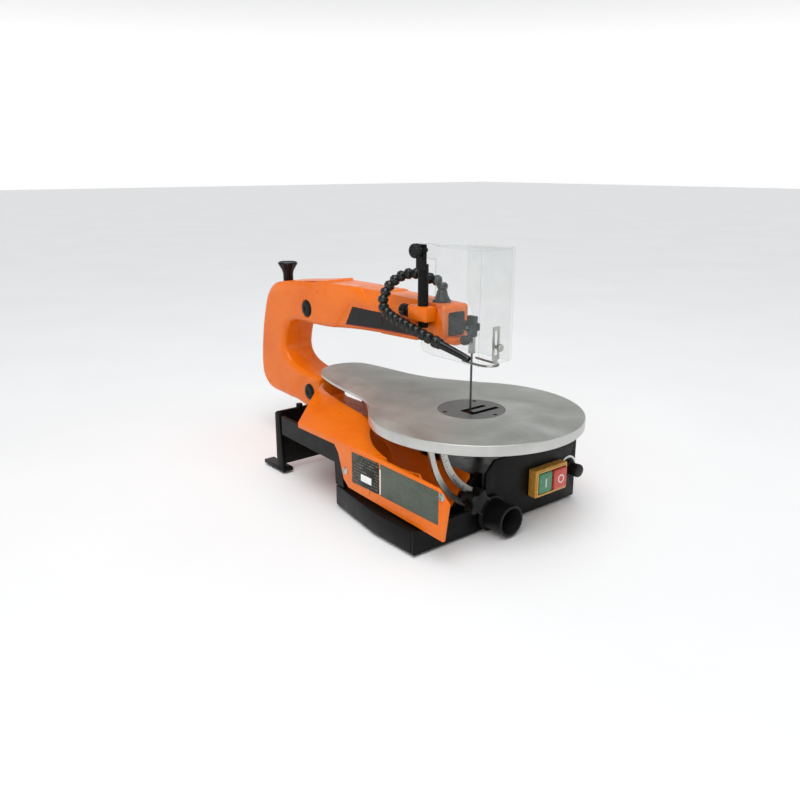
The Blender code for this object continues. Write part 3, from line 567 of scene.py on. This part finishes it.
# --------------------------------------------------- materials on CAD nodes
PLAIN = {
    "base_tray": BLACK, "front_panel": BLACK, "rear_stand": BLACK, "rear_rail_left": BLACK, "rear_rail_right": BLACK,
    "foot_front_left": RUBBER, "foot_front_right": RUBBER, "foot_rear_left": RUBBER, "foot_rear_right": RUBBER,
    "frame_left": ORANGE, "frame_right": ORANGE, "side_cover_left": ORANGE, "side_cover_right": ORANGE, "post_block": ORANGE,
    "upper_pivot_cap_left": PLASTIC, "upper_pivot_cap_right": PLASTIC, "lower_pivot_cap_left": PLASTIC, "lower_pivot_cap_right": PLASTIC,
    "upper_pivot_pin": STEEL, "lower_pivot_pin": STEEL, "upper_bearing": BRONZE, "lower_bearing": BRONZE,
    "motor_housing": BLACK, "motor_rotor": STEEL, "connecting_rod": STEEL, "air_bellows": RUBBER, "power_inlet": RUBBER,
    "tilt_bracket": BLACK, "dust_port": PLASTIC, "switch_frame": YELLOW, "start_button": GREEN, "stop_button": RED,
    "upper_arm": DARKSTEEL, "lower_arm": DARKSTEEL, "blade": BLADE, "upper_blade_holder": STEEL, "lower_blade_holder": STEEL,
    "upper_blade_pin": STEEL, "lower_blade_pin": STEEL, "upper_clamp_screw": KNOB, "lower_clamp_screw": KNOB,
    "tension_rod": STEEL, "tension_knob": KNOB, "table": TABLE, "table_insert": INSERT, "tilt_trunnion": ZINC,
    "tilt_lock_knob": KNOB, "speed_knob": KNOB, "guard_post": BLACK, "post_lock_knob": KNOB, "blade_guard": CLEAR, "guard_knob": KNOB,
    "hold_down_bar": ZINC, "hold_down_foot": STEEL, "hold_down_screw": KNOB, "hose_base": HOSE, "blower_hose": HOSE, "blower_nozzle": HOSE,
    "cover_screw_front": ZINC, "cover_screw_rear": ZINC,
}
for node, obj in NODES.items():
    for s in obj.material_slots:
        s.material = PLAIN.get(node, BLACK)

# --------------------------------------------------------- the arm housing
PIVOT_Y, UPPER_Z, LOWER_Z, ROD_Y = 312.0, 209.0, 85.0, 403.0
C_OUT = [
    (137, 252.5), (200, 252.3), (262, 250.9), (264.5, 251.2), (268, 253.4), (320, 247.2), (374, 241.5), (403, 237), (418, 229), (427, 216), (434, 198), (443, 170), (449, 140),
    (452.5, 108), (451, 90), (445, 79), (434, 69.5), (421, 65.5), (382, 64.5), (345, 62), (312, 55), (294, 40), (62, 40),
    (62, 78), (289.5, 78), (289.5, 110), (314, 111), (346, 116), (368, 123.5), (380, 136), (378, 155), (370, 176),
    (360, 184), (344, 187), (301, 187.5), (262, 189), (217, 194), (183, 197), (137, 199.5),
]
SMOOTH = fillet([p for i, p in enumerate(C_OUT) if i not in (2, 3, 4)], {"all": 14, 0: 9, 19: 3, 20: 3, 21: 3, 22: 4, 35: 5}, 5)
C_FINE = fillet(C_OUT, {"all": 14, 0: 9, 2: 1.5, 3: 1.2, 4: 2.5, 22: 3, 23: 3, 24: 3, 25: 4, 38: 5}, 5)
HEAD = [(27, 249), (142, 251.5), (142, 200), (99, 200.5), (66, 203), (27, 209)]
W, HW, WALL = 27.0, 20.0, 3.5


def to_outline(pts, outline):
    """How far each point lies from an outline."""
    p = np.array(pts)[:, None, :]
    a = np.array(outline)[None, :, :]
    b = np.roll(a, -1, axis=1)
    ab = b - a
    t = np.clip(((p - a) * ab).sum(2) / np.maximum((ab ** 2).sum(2), 1e-12), 0, 1)
    return np.sqrt((((a + ab * t[..., None]) - p) ** 2).sum(2).min(1))


def step(t):
    t = min(1.0, max(0.0, t))
    return t * t * (3 - 2 * t)


def dome(name, outline, seam, top, run, rise, mat, lower=None, lines=(), field=None):
    """A shell half seen from its side: an outline whose flank rolls over into its edge.

    top is the flank's level along X, run(y, z) how wide the rolled shoulder is, rise how deep it falls,
    lower(y, z) how far the flank stands back, lines are rows of points that keep a crease crisp,
    field the outline that the shoulder follows where small steps in the edge are left out."""
    side = 1 if top > 0 else -1
    field = field or outline
    pts = list(outline)
    loose = []
    for d in (0.12, 0.45, 1.0, 1.8, 2.9, 4.3, 6.0, 8.2, 11, 14.5, 19):
        ring = inset(field, d)
        away = to_outline(ring, field)
        loose += [q for q, w in zip(ring, away) if w > d * 0.97]
    for row in lines:
        loose += row
    ys, zs = [p[0] for p in outline], [p[1] for p in outline]
    inside = lambda q: sum((a[1] > q[1]) != (b[1] > q[1]) and q[0] < (b[0] - a[0]) * (q[1] - a[1]) / (b[1] - a[1]) + a[0] for a, b in zip(outline, outline[1:] + outline[:1])) % 2
    grid = [(min(ys) + 9 * i, min(zs) + 9 * j) for i in range(int((max(ys) - min(ys)) / 9) + 1) for j in range(int((max(zs) - min(zs)) / 9) + 1)]
    away = to_outline(grid, outline)
    loose += [q for q, w in zip(grid, away) if w > 21 and inside(q)]
    kept = {}
    for q in loose:
        if inside(q):
            kept.setdefault((round(q[0] / 0.35), round(q[1] / 0.35)), q)
    pts += list(kept.values())
    n = len(outline)
    verts, _, faces, orig, _, _ = delaunay_2d_cdt([Vector(p) for p in pts], [(i, (i + 1) % n) for i in range(n)], [], 1, 1e-4)
    away = to_outline([tuple(v) for v in verts], field)
    bm = bmesh.new()
    made, edge = [], {}
    for k, (v, d) in enumerate(zip(verts, away)):
        r = run(v[0], v[1])
        u = 1 - min(d, r) / r
        x = abs(top) - rise * (1 - math.sqrt(max(0.0, 1 - u * u)))
        if lower:
            x -= lower(v[0], v[1])
        made.append(bm.verts.new(P(side * x, v[0], v[1])))
        for o in orig[k]:
            if o < n:
                edge[o] = k
    for f in faces:
        bm.faces.new([made[i] for i in f])
    rings = [[made[edge[i]] for i in range(n)]]
    for by, x in ((0, seam + 0.6), (0.5, seam)):
        rings.append([bm.verts.new(P(side * x, *q)) for q in (inset(outline, by) if by else outline)])
    for lo, hi in zip(rings, rings[1:]):
        for i in range(n):
            bm.faces.new((lo[i], lo[(i + 1) % n], hi[(i + 1) % n], hi[i]))
    bm.faces.new(rings[-1])
    return finish_mesh(bm, name, mat, 30, False)


# the flank steps back ahead of a slanting crease, and comes out again in a hood along the top
CREASE_A, CREASE_N = Vector((206.5, 233.5)), Vector((-0.7235, -0.690))


def set_back(y, z):
    ahead = step(((Vector((y, z)) - CREASE_A).dot(CREASE_N)) / 4.6)
    return 1.7 * ahead * (1 - step((z - 227.5) / 5.5))


def crease_rows():
    rows, along_way = [], Vector((0.690, -0.7235))
    for off in (0, 1.1, 2.3, 3.5, 4.6):
        rows.append([tuple(CREASE_A + along_way * (s * 2.6 - 6) + CREASE_N * off) for s in range(24)])
    for z in (227.5, 229, 230.2, 231.5, 233):
        rows.append([(140 + 3.2 * i, z) for i in range(22)])
    return rows


for side, tag in ((-1, "left"), (1, "right")):
    def X(v, s=side):
        return v * s

    half = dome("housing_" + tag, C_FINE, 0.15, X(W), lambda y, z: 9 + 9 * step((z - 205) / 30) * step((y - 120) / 40), 8.0, ORANGE, set_back, crease_rows(), SMOOTH)
    head = dome("c", fillet(HEAD, {"all": 3, 0: 5, 5: 7}, 4), 0.15, X(HW), lambda y, z: 3.6, 3.4, ORANGE)
    boolean(half, head, "UNION")
    # the lower flank runs on under the post's block
    skirt = dome("c", fillet([(71, 202.4), (142, 199.9), (142, 228.2), (71, 225)], {"all": 2.5, 1: 0.4, 2: 0.4}, 4), 14, X(25.3), lambda y, z: 3.0, 2.6, ORANGE)
    boolean(half, skirt, "UNION")
    # the hollow, and the pockets and holes cut below, are lined with the darker orange of painted shade
    cavity = plate("c", inset(C_OUT, WALL), "x", [(0, X(-3)), (0, X(W - WALL - 5.5)), (3, X(W - WALL - 2.2))], ORANGE_IN_SHADE)
    boolean(half, cavity)
    # the head's inner walls, underside pocket and window take the near-black painted shade
    nose = plate("c", inset(HEAD, WALL), "x", [(0, X(-3)), (0, X(HW - WALL))], SHADE_IN)
    boolean(half, nose)
    boolean(half, box("c", (min(X(-3), X(HW - WALL)), 125, 206), (max(X(-3), X(HW - WALL)), 155, 245), SHADE_IN, 0.5, 1))
    boolean(half, box("c", (min(X(-3), X(13)), 15, 212.6), (max(X(-3), X(13)), 40, 241), SHADE_IN, 2.2, 3, "y"))
    boolean(half, box("c", (min(X(-3), X(W - WALL - 2.2)), 50, 43.5), (max(X(-3), X(W - WALL - 2.2)), 80, 74.5), ORANGE_IN_SHADE, 0.5, 1))
    neck = lathe("c", [(0, -20), (10.4, -20), (10.4, 20), (0, 20)], (0, ROD_Y, 238), (0, 0, 1), ORANGE_IN_SHADE, 40)
    boolean(half, neck)
    if side > 0:
        boolean(half, box("c", (9.4, 184, 30), (34, 216, 72), ORANGE_IN_SHADE, 0.5, 1))
    for level in (UPPER_Z, LOWER_Z):
        # a shallow counterbore takes each pivot's cap
        boolean(half, lathe("c", [(0, -1.2), (12.5, -1.2), (13.3, 0), (13.6, 4), (0, 4)], (X(W), PIVOT_Y, level), (X(1), 0, 0), ORANGE, 40))
    half.data.set_sharp_from_angle(angle=math.radians(30))
    piece(half, "base", "frame_" + tag, slot="orange_enamel")
    for word, level in (("upper", UPPER_Z), ("lower", LOWER_Z)):
        cap = lathe(f"{word}_cap_{tag}", [(0, 0.6), (3.0, 0.6), (3.3, 1.0), (4.0, 1.5), (7.6, 1.7), (10.2, 1.2), (11.6, 0.3), (12.0, -0.4), (12.0, -1.0), (0, -1.0)],
                    (X(W), PIVOT_Y, level), (X(1), 0, 0), PLASTIC, 40)
        piece(cap, "base", f"{word}_pivot_cap_{tag}", slot="black_plastic")
    # black band along the flank, with a fine red line under it
    band = plate("band_rear_" + tag, fillet([(201.2, 226.6), (216.8, 201.4), (137.8, 206.2), (137.8, 226.9)], 1.0, 3), "x", [(0, X(25.2)), (0, X(25.55))], STICKER)
    tail = plate("band_front_" + tag, fillet([(136.8, 223.5), (136.8, 206.3), (75, 208.6), (75, 221)], 1.0, 3), "x", [(0, X(25.2)), (0, X(25.55))], STICKER)
    line = plate("line_rear_" + tag, [(217.6, 200), (137.8, 204.8), (137.8, 206), (217, 201.2)], "x", [(0, X(25.2)), (0, X(25.52))], REDLINE)
    line2 = plate("line_front_" + tag, [(136.8, 204.8), (75, 207.2), (75, 208.4), (136.8, 206.1)], "x", [(0, X(25.2)), (0, X(25.52))], REDLINE)
    piece(joined("arm_band_" + tag, [band, tail, line, line2]), "base", slot="black_plastic")

# ------------------------------------------------------------ side covers
cover = cad_copy("side_cover_left", ORANGE, 0, 3, 40, "cover_left")
boolean(cover, plate("c", [(-124.3, -60), (-80, -60), (-80, 8), (-124.3, 8)], "z", [(0, 87), (0, 112)], ORANGE))
bevel(cover, 0.9, 3, 40)
cad_copy("side_cover_right", ORANGE, 0.6, 2, 50, "cover_right")
# the two printed plates on the left cover
rear_plate = plate("label_rear", fillet([(64, 47.5), (64, 85.5), (12, 86.2), (12, 48.2)], 1.5, 3), "x", [(0, -127.9), (0, -128.35), (0.25, -128.5)], LABEL_A)
front_plate = plate("label_front", fillet([(10, 48.2), (10, 86.2), (-88, 85), (-88, 47.5)], 1.5, 3), "x", [(0, -127.9), (0, -128.35), (0.25, -128.5)], LABEL_B)
white = plate("w", fillet([(10.4, 50), (10.4, 80), (8.6, 80), (8.6, 50)], 0.3, 2), "x", [(0, -128.3), (0, -128.62)], WHITE)
panel = plate("w", fillet([(46, 55), (46, 63.5), (26, 63.5), (26, 55)], 0.5, 2), "x", [(0, -128.3), (0, -128.62)], WHITE)
piece(joined("cover_label", [rear_plate, front_plate, white, panel]), "base", slot="black_plastic")


def cross_screw(name, node, at, way, r):
    head = lathe(name, [(0, 2.1), (r * 0.45, 2.0), (r * 0.78, 1.5), (r * 0.96, 0.8), (r, 0.0), (0, 0)], at, way, ZINC, 28)
    for a in (0.3, 0.3 + math.pi / 2):
        bm = bmesh.new()
        bmesh.ops.create_cube(bm, size=1)
        bmesh.ops.scale(bm, vec=Vector((r * 1.15, r * 0.26, 1.8)) / 1000, verts=bm.verts)
        q = Vector(way).to_track_quat("Z", "Y").to_matrix().to_4x4()
        bmesh.ops.transform(bm, matrix=Matrix.Translation(P(*at) + Vector(way).normalized() * 0.0021) @ q @ Matrix.Rotation(a, 4, "Z"), verts=bm.verts)
        boolean(head, finish_mesh(bm, "c", ZINC, 30, False))
    head.data.set_sharp_from_angle(angle=math.radians(30))
    return piece(head, "base", node, slot="zinc_plate")


cross_screw("screw_front", "cover_screw_front", (-128.1, -93, 80.5), (-1, 0, 0), 4.6)
cross_screw("screw_rear", "cover_screw_rear", (-128.1, 78, 57), (-1, 0, 0), 4.6)

# ---------------------------------------------------------------- the table
TR, TC = 127.5, (3.0, -6.0)
TAIL_L = [(-76, 104), (-70.5, 122), (-66.5, 150), (-62.5, 180), (-57, 210), (-50.5, 235), (-43, 255), (-33, 270), (-20, 280), (-4, 286)]
TAIL_R = [(11, 285.5), (24, 281), (35, 273), (41.5, 258), (45.5, 235), (48.5, 205), (53, 170), (63, 136), (78, 112)]
tail = fillet(list(reversed(TAIL_R)) + list(reversed(TAIL_L)), {"all": 12, 0: 0.01, 18: 0.01}, 4)
disc = [(TC[0] + TR * math.cos(math.radians(-226 + 268 * k / 130)), TC[1] + TR * math.sin(math.radians(-226 + 268 * k / 130))) for k in range(131)]
OUT = disc + tail
top = plate("table_casting", OUT, "z", [(5, 124), (5, 116.2), (4.6, 115.9), (0.4, 116.0), (0, 116.5), (0, 126.3), (0.3, 127.4), (1.1, 127.95), (1.6, 128.0)], TABLE, 28)
bm = bmesh.new()
bm.from_mesh(top.data)
top.data.materials.append(RIM)
bm.faces.ensure_lookup_table()
for f in bm.faces:
    zs = [v.co.z * 1000 for v in f.verts]
    if max(zs) < 127.6 and abs(f.normal.z) < 0.6:
        f.material_index = 1
bm.to_mesh(top.data)
bm.free()
boolean(top, plate("c", [(84, 110), (106, 124.3), (300, 124.3), (300, 110)], "x", [(0, -90), (0, 90)], TABLE))
boolean(top, lathe("c", [(0, -1.9), (40.35, -1.9), (40.35, -0.4), (40.9, 0.2), (0, 0.2)][:3] + [(40.35, 5), (0, 5)], (1.4, -0.6, 128), (0, 0, 1), TABLE, 96))
boolean(top, lathe("c", [(0, -12), (36, -12), (36, 5), (0, 5)], (1.4, -0.6, 128), (0, 0, 1), TABLE, 72))
top.data.set_sharp_from_angle(angle=math.radians(28))
piece(top, "table_unit", "table", slot="table_aluminium")
plug = lathe("insert_disc", [(0, -1.6), (39.8, -1.6), (40.0, -1.4), (40.0, -0.5), (39.6, -0.12), (0, -0.12)], (1.4, -0.6, 128), (0, 0, 1), INSERT, 96)
for pts in ([(-14, -3.6), (-14, 3.2), (24, 3.2), (24, -3.6)], [(-14, -18.5), (-14, -11.5), (31, -11.5), (31, -18.5)], [(-13.9, -17), (-13.9, 2.4), (-5, 2.4), (-5, -17)]):
    boolean(plug, plate("c", fillet(pts, 1.0, 3), "z", [(0, 120), (0, 132)], BLACK))
for a in (40, 160, 280):
    boolean(plug, lathe("c", [(0, -3), (1.7, -3), (1.7, -1.0), (3.2, 0.3), (0, 0.3)], (1.4 + 34 * math.cos(math.radians(a)), -0.6 + 34 * math.sin(math.radians(a)), 128), (0, 0, 1), BLACK, 20))
plug.data.set_sharp_from_angle(angle=math.radians(28))
piece(plug, "table_unit", "table_insert", slot="table_aluminium")
# a black backing shows through the second cut-out
back = lathe("insert_backing", [(0, -3.4), (35.2, -3.4), (35.2, -2.4), (0, -2.4)], (1.4, -0.6, 128), (0, 0, 1), PLASTIC, 64)
boolean(back, plate("c", [(-14, -4), (30, -4), (30, 3.5), (-14, 3.5)], "z", [(0, 120), (0, 132)], PLASTIC))
piece(back, "table_unit", slot="black_plastic")


def ring_sector(r0, r1, a0, a1, n):
    out = [(r1 * math.cos(math.radians(a0 + (a1 - a0) * k / n)), 128 + r1 * math.sin(math.radians(a0 + (a1 - a0) * k / n))) for k in range(n + 1)]
    return out + [(r0 * math.cos(math.radians(a1 + (a0 - a1) * k / n)), 128 + r0 * math.sin(math.radians(a1 + (a0 - a1) * k / n))) for k in range(n + 1)]


# the tilt plate, its slot and its scale of ticks
sector = plate("tilt_plate", ring_sector(84, 108, 182.8, 242, 48), "y", [(0.3, -45.6), (0, -45.9), (0, -48.3), (0.3, -48.6)], ZINC)
boolean(sector, plate("c", ring_sector(92.8, 101.2, 187.5, 239, 44), "y", [(0, -40), (0, -55)], ZINC))
marks = []
for k in range(19):
    a = 186 + k * 2.5
    long = 5.6 if k % 6 == 0 else 3.6 if k % 2 == 0 else 2.4
    marks.append(plate("m", ring_sector(91.8 - long, 91.8, a, a + 0.35, 1), "y", [(0, -48.5), (0, -48.72)], BLACK))
piece(joined("tilt_scale_plate", [sector] + marks), "table_unit", "tilt_trunnion", slot="zinc_plate")

# --------------------------------------------------------------- the hose
ROUTE = [(0, 53, 264.4), (0, 53.4, 267.4), (-1.8, 59, 273.5), (-7, 72, 277), (-15, 87, 281), (-25, 100, 277), (-35, 109, 266), (-42, 112, 252),
         (-45, 108, 240), (-46, 95, 232.5), (-46, 78, 228), (-45, 58, 223), (-43, 40, 218), (-40, 24, 213)]
fine = curve_points(ROUTE, 40)
along = [0.0]
for a, b in zip(fine, fine[1:]):
    along.append(along[-1] + (b - a).length)


def at_length(d):
    for i, s in enumerate(along):
        if s >= d:
            return fine[i], (fine[min(i + 3, len(fine) - 1)] - fine[max(i - 3, 0)]).normalized()
    return fine[-1], (fine[-1] - fine[-4]).normalized()


count = 21
pitch = along[-1] / count
bm = bmesh.new()
for k in range(count):
    here, way = at_length(k * pitch + 0.4)
    link = [(4.4, -2.2), (5.4, -1.6), (5.9, 0.0), (7.1, 1.2), (7.35, 2.2), (7.2, 4.4), (6.9, 5.2), (7.25, 5.9), (7.0, 7.0), (5.9, 8.3), (4.9, 9.4), (4.6, pitch + 0.6)]
    link = [(r * 0.925, h * pitch / 11.6) for r, h in link]
    lathe("", [(0, link[0][1])] + link + [(0, link[-1][1])], here, way, None, 20, None, 30, bm)
hose = finish_mesh(bm, "hose_links", HOSE, 38, False)
piece(hose, "blower", "blower_hose", slot="black_plastic")
piece(lathe("hose_mount", [(0, 0), (11.2, 0), (11.4, 0.8), (11.0, 2.2), (9.4, 2.8), (9.0, 3.4), (8.8, 5.4), (7.6, 6.4), (7.2, 8.6), (6.6, 10.2), (6.4, 12.4), (5.6, 13.4), (0, 13.4)],
            (0, 53, 250), (0, 0, 1), HOSE, 40, lambda a, r, h: r * (1 + (0.03 * (1 if math.cos(6 * a) > 0 else -1) if 2.6 < h < 5.6 else 0))), "blower", "hose_base", slot="black_plastic")
start, end = Vector((-39.8, 23.0, 212.7)), Vector((-30.2, -27, 198))
reach = (end - start).length
tip = [(0, 0.2), (5.4, 0.2), (6.9, 1.2), (7.2, 3.4), (7.0, 6.2), (6.3, 7.4), (6.6, 8.2), (6.4, 11), (5.2, 12.2), (5.0, 14), (4.6, 24), (4.0, reach - 8), (3.7, reach - 1.2), (3.2, reach), (1.9, reach), (1.8, reach - 6), (0, reach - 6)]
piece(lathe("hose_nozzle", tip, start, end - start, HOSE, 32), "blower", "blower_nozzle", slot="black_plastic")

# --------------------------------------------------------------- knobs
lobed = lambda n, amp, lo, hi: (lambda a, r, h: r * (1 + amp * math.cos(n * a)) if lo < h < hi else r)
piece(lathe("tension_handle", [(0, 216.5), (7.6, 216.5), (7.6, 247), (8.4, 250.5), (8.6, 252), (10.4, 256), (13.6, 261.4), (14.5, 263.2), (14.5, 264.4), (13.6, 265.4), (12.4, 265.5), (11.6, 264.6), (0, 264.2)],
            (0, ROD_Y, 0), (0, 0, 1), KNOB, 72, lambda a, r, h: r * (1 + 0.035 * math.cos(12 * a)) if 252.5 < h < 264 else r), "tension_handle", "tension_knob", slot="black_plastic")
piece(lathe("guard_pivot_knob", [(0, -11.5), (2.5, -11.5), (2.5, 0.4), (5.6, 0.4), (6.6, 1.4), (8.0, 2.2), (8.1, 8.4), (7.2, 9.8), (5.6, 10.2), (5.0, 9.4), (0, 9.2)], (-34.5, 55, 312), (-1, 0, 0), KNOB, 80,
            lambda a, r, h: r * (1 + 0.05 * math.cos(16 * a)) if 2 < h < 9 else r), "guard_lock", "guard_knob", slot="black_plastic")
piece(lathe("post_lock_handle", [(0, -11), (2.7, -11), (2.7, 6.6), (4.6, 7), (5.4, 8), (7.4, 8.6), (7.6, 18.4), (6.6, 19.8), (5.0, 20), (4.4, 19.3), (0, 19.2)], (-28, 73.3, 238), (0, 1, 0), KNOB, 72,
            lambda a, r, h: r * (1 + 0.05 * math.cos(12 * a)) if 8.2 < h < 19 else r), "post_lock", "post_lock_knob", slot="black_plastic")
piece(lathe("hold_down_thumb", [(0, -8), (2.0, -8), (2.0, 1.0), (3.9, 1.1), (4.2, 1.6), (4.2, 4.0), (3.6, 4.6), (2.0, 4.7), (1.8, 5.6), (0, 5.8)], (4, -39, 209), (0, -1, 0), ZINC, 60,
            lambda a, r, h: r * (1 + 0.05 * math.cos(20 * a)) if 1.2 < h < 4.4 else r), "hold_down_lock", "hold_down_screw", slot="zinc_plate")
for word, x, way, z, body in (("upper", -3.4, -1, 212.5, "upper_thumb_screw"), ("lower", 3.4, 1, 108.5, "lower_thumb_screw")):
    piece(lathe(word + "_thumb", [(0, 0), (2.2, 0), (2.2, 3.0), (4.2, 3.2), (5.3, 4.2), (5.4, 9.8), (4.6, 11), (0, 11)], (x, 0.5, z), (way, 0, 0), KNOB, 60,
                lambda a, r, h: r * (1 + 0.05 * math.cos(14 * a)) if 4 < h < 10.5 else r), body, word + "_clamp_screw", slot="black_plastic")
piece(lathe("speed_handle", [(0, -6), (3.6, -6), (3.6, 0.6), (9.2, 0.6), (9.6, 1.4), (9.4, 5), (8.2, 6.4), (7.7, 10), (8.2, 16.6), (7.6, 18.1), (6.6, 18.5), (0, 18.5)], (114.6, -59.2, 44), (0, -1, 0), KNOB, 72,
            lambda a, r, h: r * (1 + 0.035 * math.cos(18 * a)) if 7 < h < 17.5 else r), "speed_control", "speed_knob", slot="black_plastic")
cad_copy("tilt_lock_knob", KNOB, 1.4, 3, 40, "tilt_handle")

# ------------------------------------------------------------- switch, dial
shell = box("switch_shell", (41.6, -71.4, 24.6), (98.4, -59.3, 59.4), YELLOW, 1.6, 4, "y")
boolean(shell, box("c", (45.2, -90, 28.2), (94.8, -61.6, 55.8), YELLOW, 1.0, 3, "y"))
rim = box("switch_rim", (43.4, -72.4, 26.4), (96.6, -70.6, 57.6), YELLOW, 0.8, 3, "y")
boolean(rim, box("c", (45.2, -90, 28.2), (94.8, -61.6, 55.8), YELLOW, 1.0, 3, "y"))
piece(joined("switch_surround", [shell, rim]), "base", "switch_frame", slot="switch_yellow")
go = box("go", (46.2, -73.4, 29.2), (69.2, -64.4, 54.8), GREEN, 1.5, 4, "y")
bar = box("bar", (56.9, -73.75, 36.5), (58.7, -73.1, 47.5), WHITE, 0.3, 2, "y")
piece(joined("start_pad", [go, bar]), "start_switch", "start_button", slot="button_green")
halt = box("halt", (70.8, -75.4, 29.2), (93.8, -64.4, 54.8), RED, 1.8, 4, "y")
circle = lathe("o", [(4.0, -0.2), (5.3, -0.2), (5.3, 0.35), (4.0, 0.35)], (82.3, -75.4, 42), (0, -1, 0), WHITE, 32, close=True)
piece(joined("stop_pad", [halt, circle]), "stop_switch", "stop_button", slot="button_red")
dial = [(114.6 + r * math.cos(math.radians(a)), 44 + r * math.sin(math.radians(a))) for r, a in [(15.2, 20 + k * 7) for k in range(21)] + [(12.6, 160 - k * 7) for k in range(21)]]
dial_arc = plate("dial", dial, "y", [(0, -58.9), (0, -59.45)], WHITE)
piece(dial_arc, "base", slot="black_plastic")

# -------------------------------------------------------- smoother CAD shapes
cad_copy("post_block", ORANGE, 1.0, 3, 40)
cad_copy("base_tray", BLACK, 0.5, 2, 40, merge=False)
cad_copy("front_panel", BLACK, 0.5, 2, 40)
cad_copy("rear_stand", BLACK, 0.5, 2, 50)
cad_copy("blade_guard", CLEAR, 0.8, 2, 50, rim=CLEAR_RIM)
block = box("holder_block", (-3.1, -6, 216), (3.1, 6.5, 240), DARKSTEEL, 0.8, 3)
strip = box("holder_strip", (-2.6, -3.4, 196), (2.6, 3.6, 216.5), STEEL, 0.5, 2)
piece(joined("upper_holder", [block, strip]), "blade_unit", "upper_blade_holder", slot="steel")
piece(box("nose_lip", (-14.5, 14, 204.2), (14.5, 46, 211.8), ORANGE, 1.6, 4, "y"), "base", slot="orange_enamel")

PORT = (-20.5, 18.7)
port = lathe("port", [(14.6, 0), (21.0, 0), (21.3, 0.6), (21.3, 2.6), (20.8, 3.2), (18.9, 3.6), (18.2, 4.6), (17.9, 30.4), (18.3, 31.0), (18.3, 32.4), (17.8, 33), (16.0, 33), (15.5, 32.6)], (PORT[0], -59.3, PORT[1] + 2.6), (0, -1, 0), PLASTIC, 64, close=True)
piece(port, "base", "dust_port", slot="black_plastic")

# -------------------------------------------------------------- floor, light
floor_mat = Mat("floor", (0.86, 0.86, 0.86), 0.6)
floor_mat.colour(floor_mat.mix(floor_mat.span(floor_mat.noise(3, 3), 0, 1, 0.3, 0.7), (0.90, 0.90, 0.90), (0.93, 0.93, 0.93)))
floor_mat.bump(floor_mat.noise(600, 2), 0.03, 0.0002)
bm = bmesh.new()
bmesh.ops.create_grid(bm, x_segments=2, y_segments=2, size=14)
ground = finish_mesh(bm, "floor", floor_mat.m, 30, False)

world = bpy.context.scene.world or bpy.data.worlds.new("world")
bpy.context.scene.world = world
world.use_nodes = True
wt = world.node_tree
bg = wt.nodes.get("Background") or wt.nodes.new("ShaderNodeBackground")
sky, split, ramp = wt.nodes.new("ShaderNodeTexCoord"), wt.nodes.new("ShaderNodeSeparateXYZ"), wt.nodes.new("ShaderNodeValToRGB")
wt.links.new(sky.outputs["Generated"], split.inputs[0])
wt.links.new(split.outputs["Z"], ramp.inputs["Fac"])
ramp.color_ramp.elements[0].position, ramp.color_ramp.elements[0].color = 0.14, (1, 1, 1, 1)
ramp.color_ramp.elements[1].position, ramp.color_ramp.elements[1].color = 0.32, (0.30, 0.31, 0.32, 1)
wt.links.new(ramp.outputs["Color"], bg.inputs["Color"])
bg.inputs["Strength"].default_value = 1.0


def area(name, where, look, size, power, colour=(1, 1, 1)):
    data = bpy.data.lights.new(name, "AREA")
    data.shape = "RECTANGLE"
    data.size, data.size_y = size
    data.energy = power
    data.color = colour
    o = bpy.data.objects.new(name, data)
    bpy.context.scene.collection.objects.link(o)
    o.location = P(*where)
    o.rotation_euler = (P(*look) - o.location).to_track_quat("-Z", "Y").to_euler()
    return o


area("top", (60, 60, 1500), (0, 60, 100), (1.5, 1.5), 5)
area("key", (-1200, -700, 1000), (0, 60, 120), (0.9, 0.9), 5)
sun_data = bpy.data.lights.new("sun", "SUN")
sun_data.energy, sun_data.angle = 1.75, math.radians(50)
sun = bpy.data.objects.new("sun", sun_data)
bpy.context.scene.collection.objects.link(sun)
sun.rotation_euler = (P(0, 0, 0) - P(-420, -350, 1300)).to_track_quat("-Z", "Y").to_euler()
